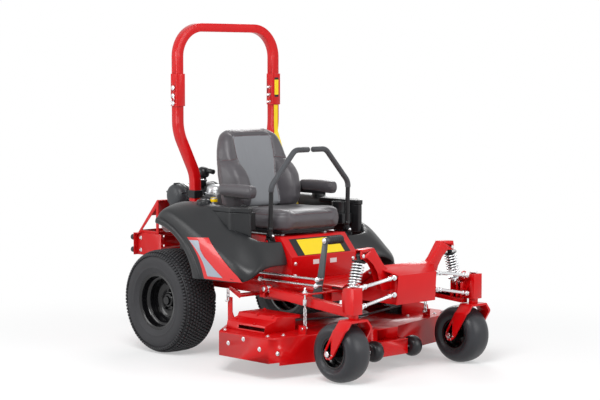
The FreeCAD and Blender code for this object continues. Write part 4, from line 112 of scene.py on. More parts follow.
floor_mesh = bpy.data.meshes.new("studio_floor")
floor_mesh.from_pydata([(-30, -30, -0.0005), (30, -30, -0.0005), (30, 30, -0.0005), (-30, 30, -0.0005)], [],
                       [(0, 1, 2, 3)])
studio_floor = bpy.data.objects.new("studio_floor", floor_mesh)
bpy.context.scene.collection.objects.link(studio_floor)
paper, tree = new_material("white_backdrop_paper")
place = add_node(tree, "ShaderNodeNewGeometry")
away = add_node(tree, "ShaderNodeVectorMath", {"operation": "LENGTH"}, {0: (place, "Position")})
fade = add_node(tree, "ShaderNodeMapRange", {"From Min": 1.2, "From Max": 3.0, "To Min": 0.4,
                                             "interpolation_type": "SMOOTHSTEP"}, {"Value": (away, "Value")})
seen = add_node(tree, "ShaderNodeLightPath")
direct = add_node(tree, "ShaderNodeMath", {"operation": "MAXIMUM"}, {0: (seen, "Is Camera Ray"),
        1: (seen, "Is Transmission Ray")})
mirrored = add_node(tree, "ShaderNodeMath", {"operation": "MAXIMUM"}, {0: (direct, 0), 1: (seen, "Is Glossy Ray")})
both = add_node(tree, "ShaderNodeMath", {"operation": "MULTIPLY"}, {0: (fade, 0), 1: (mirrored, 0)})
matt = add_node(tree, "ShaderNodeBsdfDiffuse", {"Color": linear("#F6F6F6")})
glow = add_node(tree, "ShaderNodeEmission", {"Color": linear("#FFFFFF"), "Strength": 1.0})
mix = add_node(tree, "ShaderNodeMixShader", {}, {0: (both, 0), 1: (matt, 0), 2: (glow, 0)})
add_node(tree, "ShaderNodeOutputMaterial", {}, {"Surface": (mix, 0)})
floor_mesh.materials.append(paper)

# ---------------------------------------------------------------- rear drive wheels
# Wide turf tyres of carbon-black rubber, cured in a mould that leaves rows of small blocks on the crown,
# on deep one-piece pressed steel rims that are powder coated gloss black and held by five nuts.
AXLE_LINE = -482.5
REAR_Y, REAR_Z = 509.0, 304.0


def at(x, y, z):
    """A place in metres, from millimetres forward of the rear axle, left of centre and above the ground."""
    return Vector(((x + AXLE_LINE) / 1000, y / 1000, z / 1000))


def piece(name, points, faces, material, body, smooth=True, rounds=0.0, levels=0, stands_for=(), segments=2):
    """A mesh piece that rides on a body, its edges rounded by rounds mm or its cage subdivided."""
    mesh = bpy.data.meshes.new(name)
    mesh.from_pydata([tuple(p) for p in points], [], faces)
    shell = bmesh.new()
    shell.from_mesh(mesh)
    bmesh.ops.recalc_face_normals(shell, faces=shell.faces)
    for face in shell.faces:
        face.smooth = smooth
    shell.to_mesh(mesh)
    shell.free()
    mesh.materials.append(material)
    obj = bpy.data.objects.new(name, mesh)
    bpy.context.scene.collection.objects.link(obj)
    if rounds:
        edge = obj.modifiers.new("rounded_edges", "BEVEL")
        edge.width, edge.segments, edge.limit_method, edge.harden_normals = rounds / 1000, segments, "ANGLE", True
        edge.angle_limit = math.radians(35)
    if levels:
        cage = obj.modifiers.new("smooth_form", "SUBSURF")
        cage.levels = cage.render_levels = levels
    if stands_for:
        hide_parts(*stands_for)
    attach(obj, body)
    return obj


def turned(profile, centre, out, steps, closed=True):
    """Points and faces of a (radius, offset) profile in mm, turned about the Y axis; out is +1 or -1."""
    points, faces = [], []
    count = len(profile)
    for n in range(steps):
        turn = 2 * math.pi * n / steps
        for r, h in profile:
            points.append(centre + Vector((r * math.cos(turn), out * h, r * math.sin(turn))) / 1000)
    for n in range(steps):
        ahead = (n + 1) % steps
        for k in range(count if closed else count - 1):
            b = (k + 1) % count
            faces.append((n * count + k, n * count + b, ahead * count + b, ahead * count + k))
    return points, faces


def rubber(name, colour, worn, roughness, grain_mm):
    """Moulded rubber: nearly black, dusty on the worn parts, with a fine leathery skin."""
    material, tree = new_material(name)
    place = add_node(tree, "ShaderNodeTexCoord")
    dust = add_node(tree, "ShaderNodeTexNoise", {"Scale": 9.0, "Detail": 5.0, "Roughness": 0.6},
                    {"Vector": (place, "Object")})
    tone = add_node(tree, "ShaderNodeMix", {"data_type": "RGBA"}, {"Factor": (dust, "Fac")})
    tone.inputs[6].default_value, tone.inputs[7].default_value = linear(colour), linear(worn)
    grain = add_node(tree, "ShaderNodeTexNoise", {"Scale": 1000 / grain_mm, "Detail": 2.0},
                     {"Vector": (place, "Object")})
    skin = add_node(tree, "ShaderNodeBump", {"Strength": 0.18, "Distance": 0.0006}, {"Height": (grain, "Fac")})
    shine = add_node(tree, "ShaderNodeMapRange", {"To Min": roughness - 0.06, "To Max": roughness + 0.1},
                     {"Value": (dust, "Fac")})
    body = add_node(tree, "ShaderNodeBsdfPrincipled", {"IOR": 1.52, "Specular IOR Level": 0.3},
                    {"Base Color": (tone, 2), "Roughness": (shine, 0), "Normal": (skin, 0)})
    add_node(tree, "ShaderNodeOutputMaterial", {}, {"Surface": (body, 0)})
    return material


def powder_coat(name, colour, deep, roughness, coat=0.0):
    """Powder coat baked on steel: even colour and a faint orange peel about 3 mm across."""
    material, tree = new_material(name)
    place = add_node(tree, "ShaderNodeTexCoord")
    cloud = add_node(tree, "ShaderNodeTexNoise", {"Scale": 3.5, "Detail": 3.0}, {"Vector": (place, "Object")})
    tone = add_node(tree, "ShaderNodeMix", {"data_type": "RGBA"}, {"Factor": (cloud, "Fac")})
    tone.inputs[6].default_value, tone.inputs[7].default_value = linear(deep), linear(colour)
    peel = add_node(tree, "ShaderNodeTexNoise", {"Scale": 330.0, "Detail": 1.0}, {"Vector": (place, "Object")})
    skin = add_node(tree, "ShaderNodeBump", {"Strength": 0.05, "Distance": 0.0004}, {"Height": (peel, "Fac")})
    shine = add_node(tree, "ShaderNodeMapRange", {"To Min": roughness - 0.04, "To Max": roughness + 0.08},
                     {"Value": (cloud, "Fac")})
    body = add_node(tree, "ShaderNodeBsdfPrincipled", {"IOR": 1.5, "Specular IOR Level": 0.25, "Coat Weight": coat,
                                                       "Coat Roughness": 0.08},
                    {"Base Color": (tone, 2), "Roughness": (shine, 0), "Normal": (skin, 0)})
    add_node(tree, "ShaderNodeOutputMaterial", {}, {"Surface": (body, 0)})
    return material


def bar_points(centre, along, across, up, length, width, height, taper=0.0):
    """Eight corners of a block about its base centre, its top drawn in by taper, all in mm."""
    corners = []
    for level, cut in ((0.0, 0.0), (1.0, taper)):
        for a, b in ((-1, -1), (1, -1), (1, 1), (-1, 1)):
            corners.append(centre + (along * a * (length / 2 - cut) + across * b * (width / 2 - cut)
                                     + up * height * level) / 1000)
    return corners


BLOCK_FACES = ((0, 3, 2, 1), (4, 5, 6, 7), (0, 1, 5, 4), (1, 2, 6, 5), (2, 3, 7, 6), (3, 0, 4, 7))


def add_block(points, faces, corners):
    start = len(points)
    points.extend(corners)
    faces.extend(tuple(start + i for i in face) for face in BLOCK_FACES)


turf_rubber = rubber("turf_tyre_rubber", "#1E1E20", "#343437", 0.56, 1.2)
black_rim_coat = powder_coat("black_powder_coat", "#0E0E10", "#08080A", 0.22, 0.3)
CROWN = ((0.0, 303.6), (60.0, 302.0), (84.0, 298.5), (100.0, 291.0), (110.0, 280.0), (117.0, 264.0))


def crown_radius(y):
    for (y0, r0), (y1, r1) in zip(CROWN, CROWN[1:]):
        if abs(y) <= y1:
            return r0 + (r1 - r0) * (abs(y) - y0) / (y1 - y0)
    return CROWN[-1][1]


def turf_tyre(side, label):
    """Carcass with its ribbed wall, and twelve rows of small staggered tread blocks."""
    centre = at(0, side * REAR_Y, REAR_Z)
    wall = [(152.5, 90), (153.5, 94.5), (163, 97), (168, 103), (172, 104.5), (176, 106), (186, 110), (197, 115.5),
            (201, 117.4), (204, 116.4), (216, 118.6), (236, 119.2), (252, 117.5), (266, 112), (280, 102), (289, 88),
            (294, 62), (295.5, 28)]
    profile = wall + [(r, -h) for r, h in reversed(wall)]
    points, faces = turned(profile, centre, side, 96)
    rows = 88
    columns = [-107.5 + 19.55 * k for k in range(12)]
    for k, y in enumerate(columns):
        shoulder = abs(y) > 100
        radius = crown_radius(y)
        lean = math.atan2(crown_radius(y + 6) - crown_radius(y - 6), 12)
        for n in range(rows):
            turn = 2 * math.pi * (n + (0.5 if k % 2 else 0.0)) / rows
            out = Vector((math.cos(turn), 0, math.sin(turn)))
            along = Vector((-math.sin(turn), 0, math.cos(turn)))
            across = Vector((0, math.cos(lean), 0)) + out * math.sin(lean)
            up = out * math.cos(lean) - Vector((0, math.sin(lean), 0))
            skew = (along + across * (0.22 if k % 2 else -0.22)).normalized()
            base = centre + Vector((0, side * y, 0)) / 1000 + out * (radius - 9.5) / 1000
            across, up = Vector((across.x, across.y * side, across.z)), Vector((up.x, up.y * side, up.z))
            skew = Vector((skew.x, skew.y * side, skew.z))
            corners = bar_points(base, skew, across, up, 15.4, 21.0 if shoulder else 15.2, 9.3, 1.5)
            add_block(points, faces, corners)
    return piece("turf_tyre_" + label, points, faces, turf_rubber, "rear_wheel_" + label,
                 stands_for=("rear_tyre_" + label,))


def rear_rim(side, label):
    """Rolled flanges, deep barrel, ribbed disc, hub, stub and nuts."""
    centre = at(0, side * REAR_Y, REAR_Z)
    outer = [(168, 101), (171, 99), (171, 96), (168, 95), (156, 94.5), (152, 92), (150.5, 84), (150, 62), (146, 57),
             (134, 52), (132, 46)]
    inner = [(132, -40), (137, -52), (150, -58), (151, -90), (168, -96), (170, -98), (168, -101), (160, -101),
             (147, -94), (146, -60), (131, -50), (127, -40)]
    back = [(127, 40), (129, 48), (141, 55), (145, 63), (146, 88), (149, 96), (158, 99)]
    barrel = outer + inner + back
    points, faces = turned(barrel, centre, side, 96)
    disc = [(128, 4), (118, 6), (104, 7), (96, 2), (88, -2), (60, -2), (56, 2), (45, 2), (43, 0), (43, -8), (58, -8),
            (90, -9), (104, 0), (118, -1), (128, -4)]
    more, rim_faces = turned(disc, centre, side, 96)
    offset = len(points)
    points += more
    faces += [tuple(offset + i for i in face) for face in rim_faces]
    hub = [(42, -6), (42, 14), (38, 19), (28, 20), (26, 28), (24, 32), (0.5, 32), (0.5, -6)]
    more, hub_faces = turned(hub, centre, side, 48)
    offset = len(points)
    points += more
    faces += [tuple(offset + i for i in face) for face in hub_faces]
    for n in range(5):
        turn = math.radians(72 * n + 90)
        spot = centre + Vector((math.cos(turn) * 57.15, 0, math.sin(turn) * 57.15)) / 1000
        for r, low, high in ((11.0, -1, 12.0), (6.0, 10, 17.0)):
            sides_of = 6 if r > 8 else 12
            start = len(points)
            for level in (low, high):
                for k in range(sides_of):
                    a = 2 * math.pi * k / sides_of
                    points.append(spot + Vector((r * math.cos(a), side * level, r * math.sin(a))) / 1000)
            faces.append(tuple(start + sides_of + k for k in range(sides_of)))
            faces += [(start + k, start + (k + 1) % sides_of, start + sides_of + (k + 1) % sides_of,
                       start + sides_of + k) for k in range(sides_of)]
    return piece("rear_rim_pressed_" + label, points, faces, black_rim_coat, "rear_wheel_" + label, rounds=0.8,
                 stands_for=("rear_rim_" + label,))


SIDES = (("right", -1), ("left", 1))
for label, side in SIDES:
    turf_tyre(side, label)
    rear_rim(side, label)

# ---------------------------------------------------------------- painted steel frame, front end and deck
# Rails, folded plates, forks and the deck are cut and folded steel sheet, welded, and powder coated in a
# bright glossy red. Bolts, rod ends and pins are zinc plated, so they stay silver against it.
red_coat = powder_coat("red_powder_coat", "#CC0409", "#B40306", 0.28, 0.12)
black_coat = powder_coat("satin_black_powder_coat", "#18181A", "#101012", 0.38, 0.1)
grey_coat = powder_coat("grey_powder_coat", "#4A4E50", "#404446", 0.36, 0.1)


def plated_steel(name, colour, roughness, brushed_mm):
    """Zinc-plated or ground steel: bright metal with fine brushing lines and a slightly cloudy sheen."""
    material, tree = new_material(name)
    place = add_node(tree, "ShaderNodeTexCoord")
    stretch = add_node(tree, "ShaderNodeMapping", {"Scale": (1.0, 1.0, 0.15)}, {"Vector": (place, "Object")})
    lines = add_node(tree, "ShaderNodeTexNoise", {"Scale": 1000 / brushed_mm, "Detail": 2.0},
                     {"Vector": (stretch, 0)})
    cloud = add_node(tree, "ShaderNodeTexNoise", {"Scale": 30.0, "Detail": 3.0}, {"Vector": (place, "Object")})
    skin = add_node(tree, "ShaderNodeBump", {"Strength": 0.03, "Distance": 0.0003}, {"Height": (lines, "Fac")})
    shine = add_node(tree, "ShaderNodeMapRange", {"To Min": roughness - 0.06, "To Max": roughness + 0.1},
                     {"Value": (cloud, "Fac")})
    body = add_node(tree, "ShaderNodeBsdfPrincipled", {"Base Color": linear(colour), "Metallic": 1.0},
                    {"Roughness": (shine, 0), "Normal": (skin, 0)})
    add_node(tree, "ShaderNodeOutputMaterial", {}, {"Surface": (body, 0)})
    return material


zinc = plated_steel("zinc_plated_steel", "#D9DBDD", 0.26, 1.0)
blade_steel = plated_steel("ground_blade_steel", "#8E9092", 0.35, 0.8)
chrome = plated_steel("hard_chrome", "#E6E8EA", 0.12, 0.5)


def cast_metal(name, colour, metallic, roughness):
    """Sand-cast metal: a dull skin with grains about 1.5 mm across."""
    material, tree = new_material(name)
    place = add_node(tree, "ShaderNodeTexCoord")
    sand = add_node(tree, "ShaderNodeTexNoise", {"Scale": 650.0, "Detail": 3.0}, {"Vector": (place, "Object")})
    cloud = add_node(tree, "ShaderNodeTexNoise", {"Scale": 12.0, "Detail": 4.0}, {"Vector": (place, "Object")})
    skin = add_node(tree, "ShaderNodeBump", {"Strength": 0.35, "Distance": 0.0008}, {"Height": (sand, "Fac")})
    shine = add_node(tree, "ShaderNodeMapRange", {"To Min": roughness - 0.08, "To Max": roughness + 0.1},
                     {"Value": (cloud, "Fac")})
    body = add_node(tree, "ShaderNodeBsdfPrincipled", {"Base Color": linear(colour), "Metallic": metallic},
                    {"Roughness": (shine, 0), "Normal": (skin, 0)})
    add_node(tree, "ShaderNodeOutputMaterial", {}, {"Surface": (body, 0)})
    return material


cast_iron = cast_metal("painted_cast_iron", "#1B1C1E", 0.0, 0.5)
cast_aluminium = cast_metal("cast_aluminium", "#B9BBBD", 1.0, 0.42)


def finish_node(node, material, rounds=1.2, other=None, where=None):
    """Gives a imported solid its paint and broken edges; other goes on the faces whose middle, in mm, passes where."""
    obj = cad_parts[node]
    obj.data.materials.clear()
    obj.data.materials.append(material)
    if other:
        obj.data.materials.append(other)
    for face in obj.data.polygons:
        middle = face.center * 1000
        face.use_smooth = True
        face.material_index = 1 if other and where(middle.x - AXLE_LINE, middle.y, middle.z) else 0
    weld = obj.modifiers.new("joined_faces", "WELD")
    weld.merge_threshold = 0.00001
    if rounds:
        edge = obj.modifiers.new("rounded_edges", "BEVEL")
        edge.width, edge.segments, edge.limit_method, edge.harden_normals = rounds / 1000, 2, "ANGLE", True
        edge.angle_limit = math.radians(32)
    return obj


for node in ("frame_rails", "front_cradle", "front_cowl", "shock_tower", "floor_pan", "seat_riser", "belt_covers",
             "lift_crank", "rear_bumper", "rear_guard"):
    finish_node(node, red_coat)
finish_node("deck_shell", red_coat, 1.5, cast_iron, lambda x, y, z: z > 229.0 and min(
    math.hypot(x - 890, abs(y) - 478), math.hypot(x - 1030, y)) < 64)
for node in ("rops_uprights", "rops_hoop"):
    finish_node(node, red_coat, 4.0)
for label, side in SIDES:
    finish_node("front_arm_" + label, red_coat, 1.5, zinc, lambda x, y, z: x < 789 or (
        abs(x - 1417) < 60 and math.hypot(abs(y) - 410, z - 462) < 12))
    finish_node("caster_fork_" + label, red_coat, 2.0, zinc, lambda x, y, z: z > 512.5 or (
        math.hypot(x - 1407, z - 163) < 22 and abs(abs(y) - 475) > 99) or (abs(abs(y) - 475) < 88 and z < 200))
    finish_node("caster_rim_" + label, black_rim_coat, 0.8)
    finish_node("lever_pivot_" + label, black_coat, 0.8)
    for node in ("upper_rod_", "lower_rod_"):
        finish_node(node + label, zinc, 0.6)
    finish_node("shock_body_" + label, black_coat, 0.8)
    finish_node("shock_rod_" + label, chrome, 0.8)
for node in ("frame_fasteners", "deck_hangers", "lift_rods"):
    finish_node(node, zinc, 0.5)
for node in ("blade_right", "blade_centre", "blade_left"):
    finish_node(node, blade_steel, 0.6)
finish_node("wheel_motors", cast_iron, 1.5)
finish_node("lift_pedal", grey_coat, 2.0)
finish_node("deck_belt", turf_rubber, 0.5)
finish_node("bumper_knobs", turf_rubber, 2.0)

# ---------------------------------------------------------------- casters and anti-scalp rollers
# Smooth foam-filled caster tyres and solid moulded deck rollers, both dark grey rubber with a soft shine.
smooth_rubber = rubber("smooth_caster_rubber", "#232427", "#313236", 0.36, 2.0)
roller_rubber = rubber("moulded_roller_rubber", "#1A1B1D", "#242528", 0.28, 2.0)
CASTER_WALL = [(78.4, 52), (80, 62), (86, 65), (93, 68), (101, 77), (110, 81.5), (121, 82), (132, 78), (141, 71.5),
               (145, 66.5), (147, 65.5), (154, 55), (160, 38), (162.6, 18)]
ROLLER_WALL = [(8.6, 37), (18, 38.5), (31, 38.6), (42, 36), (51, 29), (56.5, 18), (58.8, 6)]
for label, side in SIDES:
    profile = CASTER_WALL + [(r, -h) for r, h in reversed(CASTER_WALL)]
    points, faces = turned(profile, at(1407, side * 475, 163), side, 72)
    piece("caster_tyre_smooth_" + label, points, faces, smooth_rubber, "caster_wheel_" + label, levels=1,
          stands_for=("caster_tyre_" + label,))
    profile = ROLLER_WALL + [(r, -h) for r, h in reversed(ROLLER_WALL)]
    points, faces = turned(profile, at(1328, side * 152, 119), side, 48)
    piece("anti_scalp_roller_moulded_" + label, points, faces, roller_rubber, "anti_scalp_roller_" + label, levels=1,
          stands_for=("anti_scalp_roller_" + label,))

# ---------------------------------------------------------------- coil springs
# Round-wire compression springs, zinc plated, closed at both ends between the shock absorber's perches.
for label, side in SIDES:
    top, low = at(1417, side * 352, 667), at(1417, side * 410, 462)
    way = (low - top).normalized()
    across = Vector((1, 0, 0))
    other = way.cross(across)
    start, end = top + way * 0.0398, top + way * 0.1742
    wire, ring, turns, per_turn = 4.8, 31.5, 8.0, 40
    points, faces = [], []
    count = int(turns * per_turn)
    for n in range(count + 1):
        share = n / count
        middle = start.lerp(end, 0.035 + 0.93 * share) + (across * math.cos(2 * math.pi * turns * share)
                                                          + other * math.sin(2 * math.pi * turns * share)) * ring / 1000
        out = (across * math.cos(2 * math.pi * turns * share) + other * math.sin(2 * math.pi * turns * share))
        for k in range(10):
            a = 2 * math.pi * k / 10
            points.append(middle + (out * math.cos(a) + way * math.sin(a)) * wire / 1000)
    for n in range(count):
        for k in range(10):
            faces.append((n * 10 + k, n * 10 + (k + 1) % 10, (n + 1) * 10 + (k + 1) % 10, (n + 1) * 10 + k))
    faces += [tuple(range(10)), tuple(count * 10 + k for k in range(10))]
    mesh = bpy.data.meshes.new("spring_wire_" + label)
    mesh.from_pydata([tuple(p) for p in points], [], faces)
    for face in mesh.polygons:
        face.use_smooth = True
    mesh.materials.append(zinc)
    spring = bpy.data.objects.new("suspension_spring_" + label, mesh)
    bpy.context.scene.collection.objects.link(spring)
    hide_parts("coil_spring_" + label)
    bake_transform(spring)

# ---------------------------------------------------------------- fenders and consoles
# Rotationally moulded polyethylene tank-fenders, black with a fine matt grain: a rolled lip round the wheel
# arch, a ridge that runs down to the nose, and the raised console beside the seat.
def moulded_plastic(name, colour, roughness, grain_mm, depth):
    """Grained moulding: a soft broad sheen broken by a pebble grain, a little greyer where it scuffs."""
    material, tree = new_material(name)
    place = add_node(tree, "ShaderNodeTexCoord")
    cloud = add_node(tree, "ShaderNodeTexNoise", {"Scale": 5.0, "Detail": 4.0}, {"Vector": (place, "Object")})
    tone = add_node(tree, "ShaderNodeMix", {"data_type": "RGBA"}, {"Factor": (cloud, "Fac")})
    tone.inputs[6].default_value = linear(colour)
    tone.inputs[7].default_value = tuple(c * 1.35 for c in linear(colour)[:3]) + (1.0,)
    grain = add_node(tree, "ShaderNodeTexVoronoi", {"Scale": 1000 / grain_mm}, {"Vector": (place, "Object")})
    skin = add_node(tree, "ShaderNodeBump", {"Strength": depth, "Distance": 0.0004}, {"Height": (grain, "Distance")})
    shine = add_node(tree, "ShaderNodeMapRange", {"To Min": roughness - 0.05, "To Max": roughness + 0.08},
                     {"Value": (cloud, "Fac")})
    body = add_node(tree, "ShaderNodeBsdfPrincipled", {"IOR": 1.51, "Specular IOR Level": 0.35},
                    {"Base Color": (tone, 2), "Roughness": (shine, 0), "Normal": (skin, 0)})
    add_node(tree, "ShaderNodeOutputMaterial", {}, {"Surface": (body, 0)})
    return material


fender_plastic = moulded_plastic("rotomoulded_polyethylene", "#17181A", 0.36, 2.2, 0.25)
FENDER_RIBS = (((8, 604, 766), (8, 614, 775), (8, 612, 800), (8, 596, 812), (8, 560, 820), (8, 520, 826),
                (8, 480, 828), (8, 446, 826), (8, 440, 770)), ((40, 616, 762), (40, 622, 785), (40, 618, 830),
                                                               (40, 598, 846), (40, 556, 862), (40, 512, 876),
                                                               (40, 464, 880), (40, 422, 876), (40, 416, 790)),
               ((90, 620, 751), (90, 625, 785), (90, 621, 842), (90, 602, 862), (90, 556, 876), (90, 508, 890),
                (90, 460, 893), (90, 414, 890), (90, 412, 800)), ((160, 622, 722), (160, 627, 760), (160, 624, 826),
        (160, 602, 850), (160, 552, 870), (160, 508, 886), (160, 460, 892), (160, 414, 890), (160, 412, 790)),
               ((230, 623, 674), (230, 628, 715), (230, 626, 802), (230, 600, 822), (230, 545, 856), (230, 508, 882),
                (230, 460, 890), (230, 414, 888), (230, 412, 780)), ((290, 624, 611), (290, 629, 660),
        (290, 627, 778), (290, 600, 795), (290, 538, 842), (290, 507, 876), (290, 460, 888), (290, 414, 886),
        (290, 412, 770)), ((330, 625, 540), (330, 630, 600), (330, 628, 758), (330, 599, 776), (330, 532, 826),
                           (330, 506, 870), (330, 460, 886), (330, 414, 885), (330, 412, 770)),
               ((352, 625, 482), (352, 630, 540), (352, 628, 748), (352, 599, 765), (352, 530, 816), (352, 506, 866),
                (352, 460, 884), (352, 414, 884), (352, 412, 770)), ((400, 625, 474), (400, 630, 520),
        (400, 628, 724), (400, 598, 740), (400, 534, 790), (400, 508, 850), (400, 464, 872), (400, 414, 874),
        (400, 412, 770)), ((470, 625, 474), (470, 629, 515), (470, 627, 692), (470, 597, 708), (470, 548, 750),
                           (470, 518, 776), (470, 500, 786), (470, 480, 786), (470, 470, 740)),
               ((560, 624, 475), (560, 628, 512), (560, 625, 650), (560, 596, 666), (560, 556, 708), (560, 522, 736),
                (560, 500, 746), (560, 480, 746), (560, 470, 710)), ((620, 622, 476), (620, 626, 508),
        (620, 622, 622), (620, 594, 638), (620, 558, 684), (620, 520, 720), (620, 490, 734), (620, 470, 736),
        (620, 460, 700)), ((690, 618, 477), (692, 622, 505), (690, 616, 588), (688, 590, 604), (680, 554, 650),
                           (662, 505, 701), (645, 470, 720), (635, 450, 722), (630, 440, 690)),
               ((748, 602, 480), (752, 604, 502), (748, 598, 555), (742, 574, 574), (722, 532, 630), (690, 478, 694),
                (672, 450, 710), (660, 430, 710), (655, 425, 680)), ((790, 572, 496), (794, 572, 512),
        (790, 566, 538), (778, 545, 562), (752, 502, 622), (702, 455, 690), (684, 432, 702), (674, 415, 698),
        (670, 410, 660)), ((800, 520, 535), (803, 518, 548), (798, 510, 568), (784, 495, 592), (752, 468, 635),
                           (705, 430, 688), (690, 415, 696), (682, 402, 688), (680, 398, 640)),
               ((790, 455, 553), (792, 454, 565), (786, 450, 585), (772, 444, 608), (744, 430, 645), (707, 405, 688),
                (694, 396, 693), (688, 388, 683), (686, 385, 630)), ((772, 385, 556), (773, 385, 568),
        (767, 384, 588), (755, 382, 612), (734, 378, 648), (708, 370, 686), (697, 366, 688), (690, 364, 678),
        (688, 362, 620)), ((760, 320, 554), (760, 320, 566), (755, 320, 588), (746, 320, 612), (728, 320, 648),
                           (706, 320, 684), (696, 320, 685), (690, 320, 675), (688, 320, 610)),
               ((752, 262, 554), (752, 262, 566), (747, 262, 588), (738, 262, 612), (722, 262, 648), (702, 262, 683),
                (694, 262, 684), (690, 262, 674), (688, 262, 610)), )
LIP_INNER = ((14, 764), (60, 757), (110, 742), (165, 719), (215, 684), (262, 642), (300, 594), (326, 548), (341, 506),
             (346, 474))
LIP_OUTER = ((30, 806), (80, 798), (140, 780), (203, 750), (262, 711), (318, 662), (362, 606), (398, 550), (420, 506),
             (430, 474))
CONSOLE_PLAN = ((300, 415), (300, 493), (420, 498), (506, 500), (528, 506), (544, 502), (553, 488), (560, 480),
                (632, 450), (638, 440), (630, 424), (600, 415))


def skin_piece(name, rows, material, body, levels, thick, stands_for=()):
    """A skin through rows of points, given its thickness inwards and smoothed."""
    points = [p for row in rows for p in row]
    width = len(rows[0])
    faces = [(a * width + b, a * width + b + 1, (a + 1) * width + b + 1, (a + 1) * width + b)
             for a in range(len(rows) - 1) for b in range(width - 1)]
    obj = piece(name, points, faces, material, body, stands_for=stands_for)
    wall = obj.modifiers.new("moulded_wall", "SOLIDIFY")
    wall.thickness, wall.offset = thick / 1000, -1.0
    cage = obj.modifiers.new("smooth_form", "SUBSURF")
    cage.levels = cage.render_levels = levels
    return obj


def upright_block(name, plan, low, high, material, body, rounds, stands_for=(), segments=3):
    """An upright prism on a plan, its edges rounded."""
    count = len(plan)
    points = [at(x, y, low) for x, y in plan] + [at(x, y, high(x, y) if callable(high) else high) for x, y in plan]
    faces = [tuple(range(count)), tuple(range(count, 2 * count))]
    faces += [(k, (k + 1) % count, count + (k + 1) % count, count + k) for k in range(count)]
    return piece(name, points, faces, material, body, rounds=rounds, segments=segments, stands_for=stands_for)


decal_red, tree = new_material("red_printed_vinyl_film")
add_node(tree, "ShaderNodeOutputMaterial", {}, {"Surface": (add_node(tree, "ShaderNodeBsdfPrincipled", {
    "Base Color": linear("#C80A10"), "Roughness": 0.3, "Coat Weight": 0.3}), 0)})
place = add_node(tree, "ShaderNodeTexCoord")
speckle = add_node(tree, "ShaderNodeTexNoise", {"Scale": 900.0}, {"Vector": (place, "Object")})
ripple = add_node(tree, "ShaderNodeBump", {"Strength": 0.04, "Distance": 0.0003}, {"Height": (speckle, "Fac")})
film = [node for node in tree.nodes if node.type == "BSDF_PRINCIPLED"][0]
tree.links.new(ripple.outputs[0], film.inputs["Normal"])
decal_silver, tree = new_material("silver_printed_vinyl_film")
place = add_node(tree, "ShaderNodeTexCoord")
flake = add_node(tree, "ShaderNodeTexVoronoi", {"Scale": 1800.0}, {"Vector": (place, "Object")})
tone = add_node(tree, "ShaderNodeMix", {"data_type": "RGBA"}, {"Factor": (flake, "Distance")})
tone.inputs[6].default_value, tone.inputs[7].default_value = linear("#A6ADB8"), linear("#8E96A2")
film = add_node(tree, "ShaderNodeBsdfPrincipled", {"Metallic": 0.4, "Roughness": 0.35}, {"Base Color": (tone, 2)})
add_node(tree, "ShaderNodeOutputMaterial", {}, {"Surface": (film, 0)})

